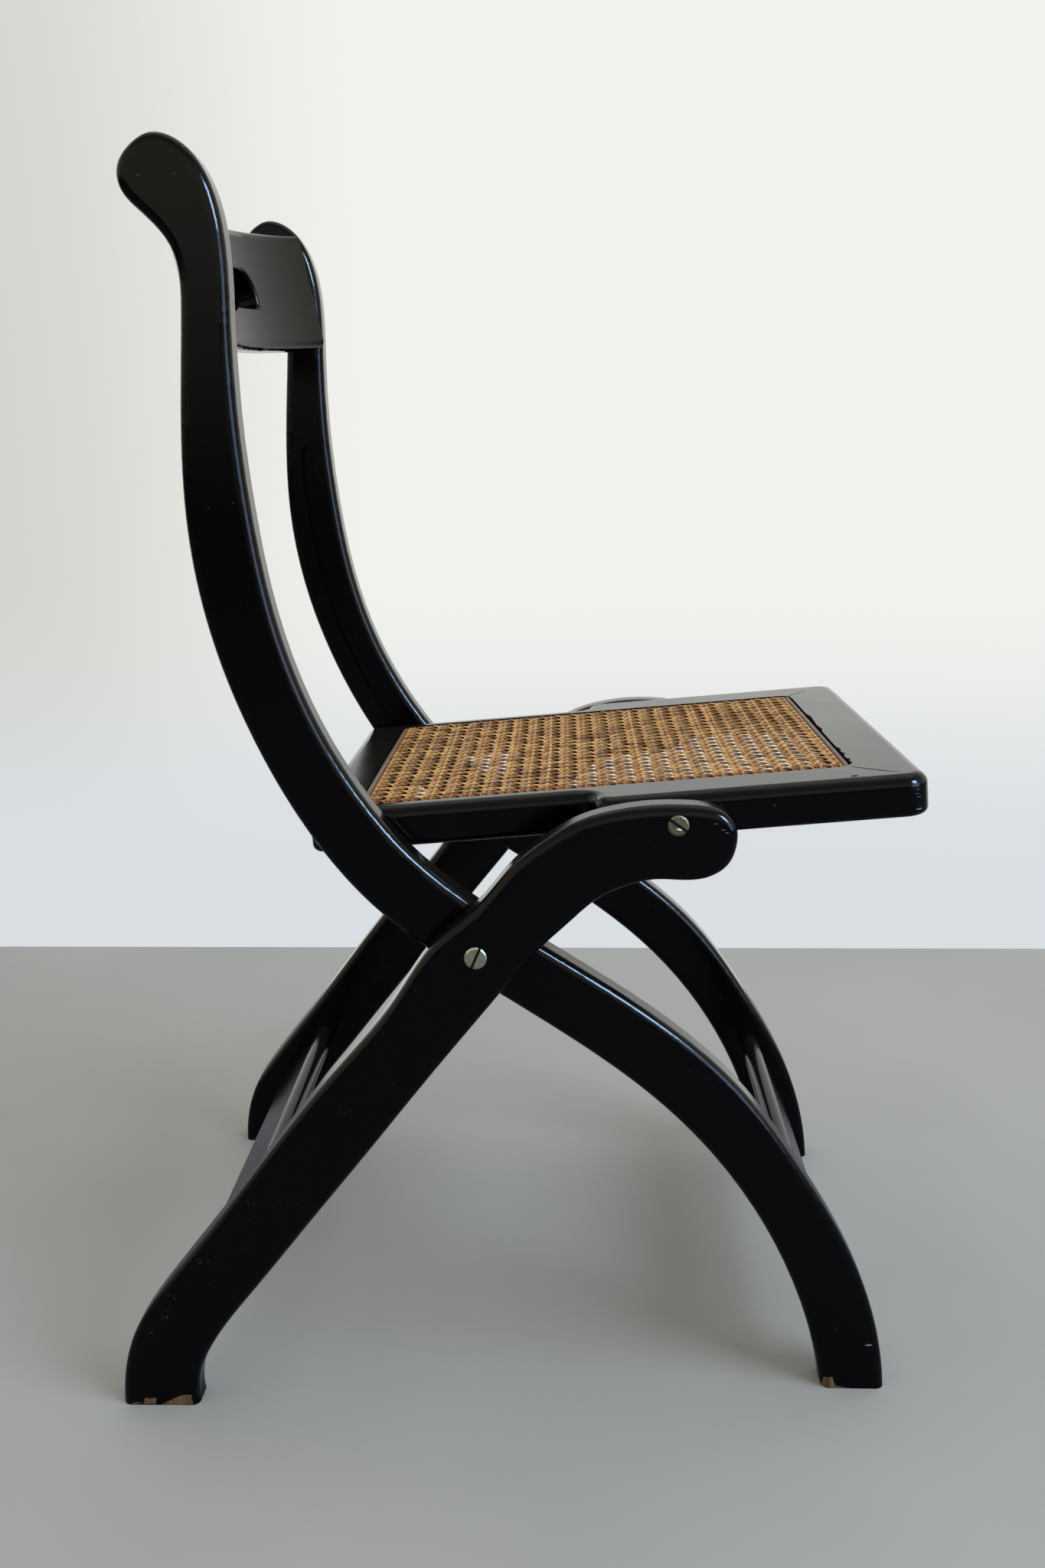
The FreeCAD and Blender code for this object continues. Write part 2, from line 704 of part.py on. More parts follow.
def makeReed():
    """The reed wedged round the cane in its groove."""
    body = makeBody("cane_reed", seatPlacement)
    top = size("seatThickness") / 2 + size("reedProud")
    ring = makeSketch(body, "XY_Plane", top)
    addReedRectangle(ring, size("glueClearance"))
    addReedRectangle(ring, size("reedWidth") - size("glueClearance"))
    pad(body, ring, "sizes.reedDepth + sizes.reedProud", against=True)
    nearTop = top - size("glueClearance")
    roundEdges(body, lambda middle, ends: middle.z > nearTop, "sizes.reedTopRound")
    return body


def makeCanePanel():
    """The woven cane as one flat net, its edge on the frame's lowered ledge."""
    body = makeBody("cane_panel", seatPlacement)
    bottom = size("seatThickness") / 2 - size("caneRebate")
    net = makeSketch(body, "XY_Plane", bottom)
    inset = size("reedWidth")
    addReedRectangle(net, inset)
    pitch = size("caneHolePitch")
    length = reedFront - reedRear - 2 * inset
    width = 2 * (reedHalf - inset)
    columns = int(length / pitch)
    rows = int(width / pitch)
    middleX = (reedFront + reedRear) / 2
    halfHole = size("caneHoleSize") / 2
    for column in range(columns):
        x = middleX + (column - (columns - 1) / 2) * pitch
        for row in range(rows):
            y = (row - (rows - 1) / 2) * pitch
            addPolygon(net, rectangle(x - halfHole, x + halfHole, y - halfHole, y + halfHole))
    pad(body, net, "sizes.caneThickness")
    print("cane net: %d gaps" % (columns * rows))
    return body


def hardwarePlacement(axis, side):
    """Stands a turned piece on a cross axis, its Z pointing out of the chair's side."""
    outward = FreeCAD.Rotation(FreeCAD.Vector(1, 0, 0), 90)
    if side > 0:
        outward = FreeCAD.Rotation(FreeCAD.Vector(0, 0, 1), 180).multiply(outward)
    return FreeCAD.Placement(FreeCAD.Vector(axis.x, 0, axis.z), outward)


def makeTurned(label, axis, side, profile):
    """A turned piece; the profile pairs radii with distances from the middle plane."""
    body = makeBody(label, hardwarePlacement(axis, side))
    sketch = makeSketch(body, "XZ_Plane")
    addPolygon(sketch, [FreeCAD.Vector(radius, distance, 0) for radius, distance in profile])
    feature = body.newObject("PartDesign::Revolution", body.Name + "_revolution")
    feature.Profile = sketch
    feature.ReferenceAxis = (sketch, ["V_Axis"])
    feature.Angle = 360
    body.Tip = feature
    doc.recompute()
    return body


def makeScrew(label, axis, side, name, tip, slotAngle):
    """A slotted screw with a low domed head."""
    shank = size(name + "ShankDiameter") / 2
    head = size(name + "HeadDiameter") / 2
    seat = headSeat(name)
    crown = seat + size(name + "HeadThickness")
    rim = crown - size("headDome")
    bevel = size("headDome")
    profile = [(0, tip), (shank - bevel, tip), (shank, tip + bevel), (shank, seat), (head, seat),
               (head, rim), (head - 2 * bevel, crown), (0, crown)]
    body = makeTurned(label, axis, side, profile)
    slot = makeSketch(body, "XY_Plane", crown + size("cutOverrun"))
    turn = FreeCAD.Rotation(FreeCAD.Vector(0, 0, 1), slotAngle)
    halfLength = head + size("cutOverrun")
    halfWidth = size("screwSlotWidth") / 2
    corners = rectangle(-halfLength, halfLength, -halfWidth, halfWidth)
    addPolygon(slot, [turn.multVec(corner) for corner in corners])
    pocket(body, slot, "sizes.screwSlotDepth + sizes.cutOverrun")
    return body


def makeRing(label, axis, side, bore, outer, start, end):
    """A washer or sleeve round a screw."""
    return makeTurned(label, axis, side,
                      [(bore, start), (outer, start), (outer, end), (bore, end)])


def makePivotNut(label, side):
    """The flanged barrel nut, flush in the stile's inner face."""
    bore = size("pivotShankDiameter") / 2 + size("glueClearance")
    flange = size("nutFlangeDiameter") / 2
    barrel = size("nutBarrelDiameter") / 2
    back = stileInner + size("nutFlangeThickness")
    end = stileInner + size("nutBarrelLength")
    return makeTurned(label, centrePivot, side,
                      [(bore, stileInner), (flange, stileInner), (flange, back),
                       (barrel, back), (barrel, end), (bore, end)])


def makeSlidePin(label, side):
    """The pin at the seat's rear: its tip stops just short of the stile's groove."""
    radius = size("slidePinDiameter") / 2
    bevel = size("slidePinTipGap")
    start = seatNarrowHalf - size("slidePinSeat")
    end = stileInner - size("slidePinTipGap")
    return makeTurned(label, slidePin, side,
                      [(0, start), (radius, start), (radius, end - bevel),
                       (radius - bevel, end), (0, end)])


pieces = [makeCrestRail(), makeFrontRail(), makeRearRail(), makeReed(), makeCanePanel()]
pieces.append(makeStretcher("front_stretcher", frontStretcherCentre, frontStretcherSlope,
                            stileSpan))
pieces.append(makeStretcher("rear_stretcher", rearStretcherCentre, rearStretcherSlope,
                            rearLegSpan))
washerGap = (size("boardGap") - size("washerThickness")) / 2
for sideName, side in (("right", -1), ("left", 1)):
    pieces.append(makeStile("back_stile_" + sideName, side))
    pieces.append(makeRearLeg("rear_leg_" + sideName, side))
    pieces.append(makeSideRail("seat_side_rail_" + sideName, side))
    pieces.append(makeDowel("seat_corner_dowel_" + sideName, side))
    pieces.append(makeSlidePin("slide_pin_" + sideName, side))
    pieces.append(makePivotNut("pivot_nut_" + sideName, side))
    pieces.append(makeScrew("pivot_screw_" + sideName, centrePivot, side, "pivot",
                            stileInner + size("nutFlangeThickness"), pivotSlotAngle))
    pieces.append(makeScrew("seat_screw_" + sideName, seatPivot, side, "seat",
                            seatWideHalf - size("sleeveLength"), seatSlotAngle))
    pieces.append(makeRing("seat_sleeve_" + sideName, seatPivot, side,
                           size("seatShankDiameter") / 2 + size("glueClearance"),
                           size("sleeveDiameter") / 2,
                           seatWideHalf - size("sleeveLength"), seatWideHalf))
    for name, axis in (("pivot", centrePivot), ("seat", seatPivot)):
        pieces.append(makeRing("%s_washer_%s" % (name, sideName), axis, side,
                               size(name + "ShankDiameter") / 2 + size("glueClearance"),
                               size("washerDiameter") / 2,
                               stileOuter + washerGap, rearLegInner - washerGap))

doc.recompute()
for item in doc.Objects:
    if "Invalid" in item.State or "Error" in item.State:
        raise RuntimeError("%s failed: %s" % (item.Label, item.State))
for piece in pieces:
    if piece.Shape.isNull() or not piece.Shape.isValid():
        raise RuntimeError("%s has no valid shape" % piece.Label)
for piece in pieces:
    piece.Shape.exportStep("parts/%s.step" % piece.Label)
    print("%-26s %8.1f cm3 %4d faces %d solid" % (
        piece.Label, piece.Shape.Volume / 1000, len(piece.Shape.Faces), len(piece.Shape.Solids)))
print("seat rake %.2f degrees, seat pivot to slide pin %.1f mm" % (seatRake, pinReach))
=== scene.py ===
import math

import bpy
import numpy as np
from mathutils import Matrix, Vector


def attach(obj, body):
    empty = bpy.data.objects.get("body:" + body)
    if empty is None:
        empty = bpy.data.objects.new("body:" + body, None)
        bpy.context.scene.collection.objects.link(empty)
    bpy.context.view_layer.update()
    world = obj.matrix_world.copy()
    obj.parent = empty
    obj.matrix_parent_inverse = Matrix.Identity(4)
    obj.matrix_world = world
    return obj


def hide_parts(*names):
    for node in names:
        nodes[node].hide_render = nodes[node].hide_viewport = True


# A folding side chair: boards of black lacquered beech, a seat of woven cane, slotted screws.
# The boards and the hardware are the CAD parts with new finishes. The cane and the reed
# round it are made here, strand by strand.

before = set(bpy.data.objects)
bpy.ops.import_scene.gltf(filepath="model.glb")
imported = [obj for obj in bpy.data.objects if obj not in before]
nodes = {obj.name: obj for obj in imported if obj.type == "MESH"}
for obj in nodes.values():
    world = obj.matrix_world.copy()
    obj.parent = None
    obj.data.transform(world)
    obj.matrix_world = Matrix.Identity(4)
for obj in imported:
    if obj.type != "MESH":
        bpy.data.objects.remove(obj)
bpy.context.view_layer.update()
print("frame loaded: %d CAD nodes" % len(nodes))


photoView = {
    "place": (0.0368, -1.0820, 0.6195),
    "yaw": -1.830,  # degrees, to the left of straight across the chair
    "pitch": 12.559,  # degrees down
    "roll": -0.4725,
    "focalPixels": 1945.7,
    "imageHeight": 2048,
    "sensorWidth": 36,
    "nearest": 0.05,
    "furthest": 60,
}


# Forward follows yaw and pitch; right is level; both turn about forward by the roll.
def placeCamera():
    yaw = math.radians(photoView["yaw"])
    pitch = math.radians(photoView["pitch"])
    roll = math.radians(photoView["roll"])
    forward = Vector((math.sin(yaw) * math.cos(pitch), math.cos(yaw) * math.cos(pitch),
                      -math.sin(pitch)))
    level = Vector((math.cos(yaw), -math.sin(yaw), 0))
    above = level.cross(forward)
    right = math.cos(roll) * level + math.sin(roll) * above
    up = -math.sin(roll) * level + math.cos(roll) * above
    data = bpy.data.cameras.new("photoCamera")
    data.sensor_width = photoView["sensorWidth"]
    data.lens = photoView["focalPixels"] / photoView["imageHeight"] * data.sensor_width
    data.clip_start = photoView["nearest"]
    data.clip_end = photoView["furthest"]
    camera = bpy.data.objects.new("photoCamera", data)
    turn = Matrix((right, up, -forward)).transposed().to_4x4()
    camera.matrix_world = Matrix.Translation(photoView["place"]) @ turn
    bpy.context.scene.collection.objects.link(camera)
    bpy.context.scene.camera = camera


placeCamera()
print("camera placed")


# A node of a kind; settings are its own properties, such as operation or data_type.
def addNode(tree, kind, **settings):
    made = tree.nodes.new(kind)
    for name, value in settings.items():
        setattr(made, name, value)
    return made


# Links a socket to another's output, or sets it to a plain number, colour or vector.
def feed(tree, socket, value):
    if isinstance(value, bpy.types.NodeSocket):
        tree.links.new(value, socket)
    else:
        socket.default_value = value


def calc(tree, operation, first, second=0.0, clamp=False):
    made = addNode(tree, "ShaderNodeMath", operation=operation, use_clamp=clamp)
    feed(tree, made.inputs[0], first)
    feed(tree, made.inputs[1], second)
    return made.outputs[0]


# A value times a share, and a value plus another times a share.
def scaled(tree, value, share):
    return calc(tree, "MULTIPLY", value, share)


def plus(tree, value, other, share):
    return calc(tree, "ADD", value, scaled(tree, other, share))


def calcVector(tree, operation, first, second=(0, 0, 0)):
    made = addNode(tree, "ShaderNodeVectorMath", operation=operation)
    feed(tree, made.inputs[0], first)
    feed(tree, made.inputs[1], second)
    return made.outputs["Value" if operation in ("LENGTH", "DOT_PRODUCT") else "Vector"]


# A value's range from low to high moved to another range, eased at both ends.
def spread(tree, value, low, high, toLow=0.0, toHigh=1.0):
    made = addNode(tree, "ShaderNodeMapRange", interpolation_type="SMOOTHSTEP")
    feed(tree, made.inputs["Value"], value)
    feed(tree, made.inputs["From Min"], low)
    feed(tree, made.inputs["From Max"], high)
    feed(tree, made.inputs["To Min"], toLow)
    feed(tree, made.inputs["To Max"], toHigh)
    return made.outputs["Result"]


def blendColours(tree, share, first, second):
    made = addNode(tree, "ShaderNodeMix", data_type="RGBA")
    feed(tree, made.inputs[0], share)
    feed(tree, made.inputs[6], first)
    feed(tree, made.inputs[7], second)
    return made.outputs[2]


def noiseAt(tree, vector, scale, detail=2.0, roughness=0.5):
    made = addNode(tree, "ShaderNodeTexNoise")
    feed(tree, made.inputs["Vector"], vector)
    feed(tree, made.inputs["Scale"], scale)
    feed(tree, made.inputs["Detail"], detail)
    feed(tree, made.inputs["Roughness"], roughness)
    return made.outputs["Fac"]


# An empty shader group with named sockets; inputs are (name, kind, value).
def startGroup(name, inputs, outputs):
    group = bpy.data.node_groups.new(name, "ShaderNodeTree")
    kinds = {"number": "NodeSocketFloat", "vector": "NodeSocketVector", "colour": "NodeSocketColor"}
    for label, kind, value in inputs:
        socket = group.interface.new_socket(label, in_out="INPUT", socket_type=kinds[kind])
        if value is not None:
            socket.default_value = value
    for label, kind in outputs:
        group.interface.new_socket(label, in_out="OUTPUT", socket_type=kinds[kind])
    return group, group.nodes.new("NodeGroupInput"), group.nodes.new("NodeGroupOutput")


def useGroup(tree, group, **values):
    made = addNode(tree, "ShaderNodeGroup", node_tree=group)
    for label, value in values.items():
        feed(tree, made.inputs[label], value)
    return made.outputs


def pieceVector(tree):
    return addNode(tree, "ShaderNodeTexCoord").outputs["Object"]


# Specks: where a Voronoi cell's random number is under Cover, its middle is 1 within Size.
def makeSpecksGroup():
    group, given, result = startGroup(
        "scatteredSpecks",
        [("Vector", "vector", None), ("Scale", "number", 200.0), ("Size", "number", 0.2),
         ("Cover", "number", 0.1)],
        [("Mask", "number")])
    cells = addNode(group, "ShaderNodeTexVoronoi")
    feed(group, cells.inputs["Vector"], given.outputs["Vector"])
    feed(group, cells.inputs["Scale"], given.outputs["Scale"])
    random = addNode(group, "ShaderNodeSeparateColor")
    feed(group, random.inputs[0], cells.outputs["Color"])
    chosen = calc(group, "LESS_THAN", random.outputs[0], given.outputs["Cover"])
    size = calc(group, "MULTIPLY", given.outputs["Size"], random.outputs[1])
    inside = spread(group, cells.outputs["Distance"], 0.0, size, 1.0, 0.0)
    feed(group, result.inputs["Mask"], calc(group, "MULTIPLY", inside, chosen))
    return group


# Hair scratches: a noise stretched along one way is near its middle value, inside patches.
def makeScratchGroup():
    group, given, result = startGroup(
        "hairScratches",
        [("Vector", "vector", None), ("Turn", "vector", (0, 0, 0)), ("Scale", "number", 60.0),
         ("Width", "number", 0.01), ("Cover", "number", 0.5)],
        [("Mask", "number")])
    turned = addNode(group, "ShaderNodeVectorRotate", rotation_type="EULER_XYZ")
    feed(group, turned.inputs["Vector"], given.outputs["Vector"])
    feed(group, turned.inputs["Rotation"], given.outputs["Turn"])
    stretched = calcVector(group, "MULTIPLY", turned.outputs[0], (1.0, 1.0, 0.035))
    lines = noiseAt(group, stretched, given.outputs["Scale"], 3.0, 0.6)
    off = calc(group, "ABSOLUTE", calc(group, "SUBTRACT", lines, 0.5))
    thin = spread(group, off, 0.0, given.outputs["Width"], 1.0, 0.0)
    patches = noiseAt(group, given.outputs["Vector"], 24.0)
    there = calc(group, "LESS_THAN", patches, given.outputs["Cover"])
    feed(group, result.inputs["Mask"], calc(group, "MULTIPLY", thin, there))
    return group


# A ragged spot: 1 inside an ellipsoid whose edge a noise moves in and out.
def makeSpotGroup():
    group, given, result = startGroup(
        "raggedSpot",
        [("Vector", "vector", None), ("Centre", "vector", (0, 0, 0)),
         ("Radii", "vector", (1, 1, 1)), ("Ragged", "number", 0.5), ("Grain", "number", 400.0)],
        [("Mask", "number")])
    away = calcVector(group, "SUBTRACT", given.outputs["Vector"], given.outputs["Centre"])
    share = calcVector(group, "LENGTH", calcVector(group, "DIVIDE", away, given.outputs["Radii"]))
    noise = noiseAt(group, given.outputs["Vector"], given.outputs["Grain"])
    rough = calc(group, "SUBTRACT", noise, 0.5)
    moved = calc(group, "MULTIPLY_ADD", rough, given.outputs["Ragged"])
    moved.node.inputs[2].default_value = 1.0
    inside = calc(group, "SUBTRACT", moved, share)
    feed(group, result.inputs["Mask"], spread(group, inside, 0.0, 0.08))
    return group


# A chip on a side face: how far inside the four sides of a patch a point lies, shaken by a
# noise. The corners go anticlockwise, seen from the chair's right.
def makeChipGroup():
    corners = [("Corner%d" % number, "vector", (0, 0, 0)) for number in (1, 2, 3, 4)]
    group, given, result = startGroup(
        "angularChip",
        [("Vector", "vector", None)] + corners + [("Ragged", "number", 0.002)],
        [("Mask", "number")])
    least = 1.0
    for number in (1, 2, 3, 4):
        corner = given.outputs["Corner%d" % number]
        following = given.outputs["Corner%d" % (number % 4 + 1)]
        along = calcVector(group, "NORMALIZE", calcVector(group, "SUBTRACT", following, corner))
        away = calcVector(group, "SUBTRACT", given.outputs["Vector"], corner)
        turned = addNode(group, "ShaderNodeSeparateXYZ")
        feed(group, turned.inputs[0], calcVector(group, "CROSS_PRODUCT", away, along))
        least = calc(group, "MINIMUM", least, turned.outputs[1])
    rough = calc(group, "SUBTRACT", noiseAt(group, given.outputs["Vector"], 420.0, 3.0, 0.7), 0.5)
    inside = plus(group, least, rough, given.outputs["Ragged"])
    feed(group, result.inputs["Mask"], spread(group, inside, 0.0, 0.00022))
    return group


# A hairline: the distance to a straight line from Start to End, shaken by a noise, is under
# Width, which narrows towards End.
def makeCrackGroup():
    group, given, result = startGroup(
        "hairCrack",
        [("Vector", "vector", None), ("Start", "vector", (0, 0, 0)), ("End", "vector", (1, 0, 0)),
         ("Width", "number", 0.0002)],
        [("Mask", "number")])
    along = calcVector(group, "SUBTRACT", given.outputs["End"], given.outputs["Start"])
    away = calcVector(group, "SUBTRACT", given.outputs["Vector"], given.outputs["Start"])
    share = calc(group, "DIVIDE", calcVector(group, "DOT_PRODUCT", away, along),
                 calcVector(group, "DOT_PRODUCT", along, along), clamp=True)
    nearest = addNode(group, "ShaderNodeVectorMath", operation="SCALE")
    feed(group, nearest.inputs[0], along)
    feed(group, nearest.inputs["Scale"], share)
    distance = calcVector(group, "LENGTH", calcVector(group, "SUBTRACT", away, nearest.outputs[0]))
    wobble = calc(group, "SUBTRACT", noiseAt(group, given.outputs["Vector"], 300.0), 0.5)
    shaken = calc(group, "ABSOLUTE", plus(group, distance, wobble, 0.0008))
    width = scaled(group, given.outputs["Width"], calc(group, "SUBTRACT", 1.3, share))
    mask = spread(group, shaken, scaled(group, width, 0.4), width, 1.0, 0.0)
    feed(group, result.inputs["Mask"], mask)
    return group


# Beech grain: rings of a stretched noise between two browns, with short dark pores.
def makeGrainGroup():
    group, given, result = startGroup(
        "beechGrain",
        [("Vector", "vector", None), ("Light", "colour", (0.5, 0.32, 0.18, 1)),
         ("Dark", "colour", (0.3, 0.17, 0.09, 1)), ("Scale", "number", 120.0)],
        [("Colour", "colour"), ("Height", "number")])
    stretched = calcVector(group, "MULTIPLY", given.outputs["Vector"], (1.0, 1.0, 0.12))
    bands = noiseAt(group, stretched, given.outputs["Scale"], 4.0, 0.62)
    pores = noiseAt(group, stretched, scaled(group, given.outputs["Scale"], 6.0), 1.0)
    tone = calc(group, "ADD", spread(group, bands, 0.35, 0.68),
                scaled(group, spread(group, pores, 0.62, 0.75), 0.5), clamp=True)
    feed(group, result.inputs["Colour"],
         blendColours(group, tone, given.outputs["Light"], given.outputs["Dark"]))
    feed(group, result.inputs["Height"], calc(group, "SUBTRACT", 1.0, tone))
    return group


specksGroup = makeSpecksGroup()
scratchGroup = makeScratchGroup()
spotGroup = makeSpotGroup()
chipGroup = makeChipGroup()
crackGroup = makeCrackGroup()
grainGroup = makeGrainGroup()
print("shader groups made")


# A material with its Principled shader, ready for links.
def startMaterial(name):
    material = bpy.data.materials.new(name)
    material.use_nodes = True
    tree = material.node_tree
    return material, tree, tree.nodes["Principled BSDF"]


# Relief: a height between 0 and 1, times a depth in metres.
def addRelief(tree, shader, height, depth, strength=1.0):
    relief = addNode(tree, "ShaderNodeBump")
    relief.inputs["Strength"].default_value = strength
    relief.inputs["Distance"].default_value = depth
    feed(tree, relief.inputs["Height"], height)
    feed(tree, shader.inputs["Normal"], relief.outputs["Normal"])


lacquer = {
    "colour": (0.0007, 0.0007, 0.0010, 1),
    "dustColour": (0.012, 0.012, 0.011, 1),
    "scuffColour": (0.15, 0.155, 0.18, 1),
    "nickColour": (0.16, 0.17, 0.20, 1),
    "gloss": (0.11, 0.17),  # roughness, least and most
    "ior": 1.25,
    "bareLight": (0.17, 0.105, 0.058, 1),
    "bareDark": (0.065, 0.034, 0.02, 1),
    "unevenness": 0.00004,  # metres of brushed-on relief
    "specks": {"Scale": 330.0, "Size": 0.34, "Cover": 0.012},
    "scratches": {"Turn": (0.4, 0.9, 0.2), "Scale": 150.0, "Width": 0.004, "Cover": 0.36},
    "scuffEdge": {"Ragged": 1.6, "Grain": 700.0},
    "nickEdge": {"Ragged": 0.5, "Grain": 900.0},
    "chipRagged": 0.0022,
    "crackWidth": 0.00028,
    "crackColour": (0.001, 0.001, 0.001, 1),
    "bareGrain": 220.0,
    "roughest": 0.85,
}

# Where the lacquer has chipped off a foot's outer face: four corners (x, z), in metres.
rearFootChips = [
    ((-0.2485, 0.0004), (-0.2395, 0.0004), (-0.2388, 0.0053), (-0.2470, 0.0052)),
    ((-0.2371, 0.0002), (-0.2143, -0.0010), (-0.2152, 0.0080), (-0.2210, 0.0080)),
    ((-0.2560, 0.0006), (-0.2490, 0.0009), (-0.2490, 0.0024), (-0.2560, 0.0013)),
]
frontFootChips = [
    ((0.2070, -0.0010), (0.2171, -0.0010), (0.2142, 0.0085), (0.2082, 0.0085)),
    ((0.2150, -0.0010), (0.2257, -0.0010), (0.2257, 0.0003), (0.2150, 0.0022)),
]
# Grey scuffs and dents: (centre, radii) in metres, on the legs and in the seat's own frame.
legScuffs = [
    ((-0.2285, -0.2085, 0.0729), (0.0022, 0.002, 0.0050)),
    ((-0.2300, -0.2085, 0.0656), (0.0020, 0.002, 0.0030)),
    ((-0.2241, -0.2085, 0.0802), (0.0030, 0.002, 0.0022)),
    ((-0.2033, -0.2085, 0.1070), (0.0050, 0.002, 0.0018)),
    ((-0.2396, -0.2085, 0.0548), (0.0040, 0.002, 0.0030)),
    ((-0.1690, -0.2085, 0.1480), (0.0034, 0.002, 0.0026)),
    ((-0.1050, -0.2085, 0.2120), (0.0050, 0.002, 0.0016)),
    ((-0.2118, -0.2060, 0.0060), (0.0016, 0.003, 0.0040)),
]
seatScuffs = [((0.1356, 0.1326, 0.0135), (0.0060, 0.0036, 0.0012))]
seatNicks = [
    ((0.1497, -0.1803, 0.0042), (0.0018, 0.0016, 0.00016)),
    ((0.1490, -0.1806, 0.0014), (0.0014, 0.0016, 0.00013)),
    ((0.1500, -0.1801, -0.0008), (0.0020, 0.0016, 0.00016)),
    ((0.1500, -0.1801, -0.0084), (0.0026, 0.0020, 0.00050)),
]
stileNicks = [((0.2375, -0.1820, 0.0329), (0.0026, 0.0030, 0.0007))]
legNicks = [
    ((0.1300, -0.2085, 0.3962), (0.0013, 0.0016, 0.00022)),
    ((0.1322, -0.2085, 0.3945), (0.0009, 0.0016, 0.00030)),
    ((0.1252, -0.2085, 0.4000), (0.0012, 0.0016, 0.00018)),
]
seatCracks = [
    ((0.1157, -0.1435, 0.0135), (0.1390, -0.1680, 0.0135)),
    ((0.1187, 0.1413, 0.0135), (0.1325, 0.1557, 0.0135)),
]

# The seat's own frame: X runs up along it to the front, its origin is on the seat screws' axis.
seatFrame = {"pivot": (0.1029004, 0.0, 0.39872), "rake": 4.617}


# The piece's coordinates turned and moved into the seat's own frame.
def seatVector(tree):
    back = Matrix.Rotation(math.radians(seatFrame["rake"]), 3, "Y")
    made = addNode(tree, "ShaderNodeMapping", vector_type="POINT")
    feed(tree, made.inputs["Vector"], pieceVector(tree))
    made.inputs["Rotation"].default_value = (0, math.radians(seatFrame["rake"]), 0)
    made.inputs["Location"].default_value = -(back @ Vector(seatFrame["pivot"]))
    return made.outputs["Vector"]


# The largest of several masks.
def largest(tree, masks):
    most = masks[0]
    for mask in masks[1:]:
        most = calc(tree, "MAXIMUM", most, mask)
    return most


# Spots given by their centres and radii, with one kind of edge, as one mask.
def spotsAt(tree, where, spots, edge):
    return largest(tree, [
        useGroup(tree, spotGroup, Vector=where, Centre=centre, Radii=radii, **edge)["Mask"]
        for centre, radii in spots])


def chipAt(tree, where, corners):
    places = {"Corner%d" % (number + 1): (x, 0.0, z) for number, (x, z) in enumerate(corners)}
    return useGroup(tree, chipGroup, Vector=where, Ragged=lacquer["chipRagged"], **places)["Mask"]


# Black lacquer: gloss that a noise varies, dust on what faces up, specks, hair scratches,
# bare wood where it has chipped, grey scuffs, nicks and dark hairlines.
def makeLacquer(name, chips=(), scuffs=(), cracks=(), nicks=(), onSeat=False):
    material, tree, shader = startMaterial(name)
    where = pieceVector(tree)
    marksAt = seatVector(tree) if onSeat else where
    shader.inputs["IOR"].default_value = lacquer["ior"]
    cloudy = noiseAt(tree, where, 9.0, 4.0, 0.6)
    gloss = spread(tree, cloudy, 0.3, 0.7, lacquer["gloss"][0], lacquer["gloss"][1])
    specks = useGroup(tree, specksGroup, Vector=where, **lacquer["specks"])["Mask"]
    scratches = useGroup(tree, scratchGroup, Vector=where, **lacquer["scratches"])["Mask"]
    facing = addNode(tree, "ShaderNodeSeparateXYZ")
    feed(tree, facing.inputs[0], addNode(tree, "ShaderNodeTexCoord").outputs["Normal"])
    upward = spread(tree, facing.outputs[2], 0.35, 1.0)
    patchy = spread(tree, noiseAt(tree, where, 38.0, 5.0, 0.7), 0.25, 0.8, 0.3, 0.9)
    dusty = calc(tree, "MULTIPLY", upward, patchy)
    colour = blendColours(tree, dusty, lacquer["colour"], lacquer["dustColour"])
    marks = calc(tree, "MAXIMUM", scaled(tree, specks, 0.4), scaled(tree, scratches, 0.07))
    colour = blendColours(tree, marks, colour, lacquer["scuffColour"])
    rough = plus(tree, plus(tree, gloss, dusty, 0.06), marks, 0.2)
    brushed = noiseAt(tree, where, 55.0, 3.0, 0.45)
    pimples = noiseAt(tree, where, 900.0, 2.0)
    height = plus(tree, brushed, pimples, 0.03)
    if scuffs:
        mask = spotsAt(tree, marksAt, scuffs, lacquer["scuffEdge"])
        flattened = calcVector(tree, "MULTIPLY", where, (1.0, 1.0, 1.7))
        flecks = spread(tree, noiseAt(tree, flattened, 620.0, 2.0, 0.6), 0.615, 0.67)
        mask = calc(tree, "MULTIPLY", mask, flecks)
        colour = blendColours(tree, scaled(tree, mask, 0.55), colour, lacquer["scuffColour"])
        rough = plus(tree, rough, mask, 0.2)
        height = plus(tree, height, mask, -0.4)
    if nicks:
        mask = spotsAt(tree, marksAt, nicks, lacquer["nickEdge"])
        colour = blendColours(tree, mask, colour, lacquer["nickColour"])
        rough = plus(tree, rough, mask, 0.4)
    if cracks:
        mask = largest(tree, [
            useGroup(tree, crackGroup, Vector=marksAt, Start=start, End=end,
                     Width=lacquer["crackWidth"])["Mask"] for start, end in cracks])
        colour = blendColours(tree, mask, colour, lacquer["crackColour"])
        rough = calc(tree, "MAXIMUM", rough, scaled(tree, mask, 0.9))
        height = plus(tree, height, mask, -1.5)
    if chips:
        mask = largest(tree, [chipAt(tree, where, corners) for corners in chips])
        grain = useGroup(tree, grainGroup, Vector=where, Light=lacquer["bareLight"],
                         Dark=lacquer["bareDark"], Scale=lacquer["bareGrain"])
        colour = blendColours(tree, mask, colour, grain["Colour"])
        rough = plus(tree, rough, mask, 0.5)
        height = plus(tree, height, mask, -3.0)
    feed(tree, shader.inputs["Base Color"], colour)
    feed(tree, shader.inputs["Roughness"], calc(tree, "MINIMUM", rough, lacquer["roughest"]))
    addRelief(tree, shader, height, lacquer["unevenness"])
    return material


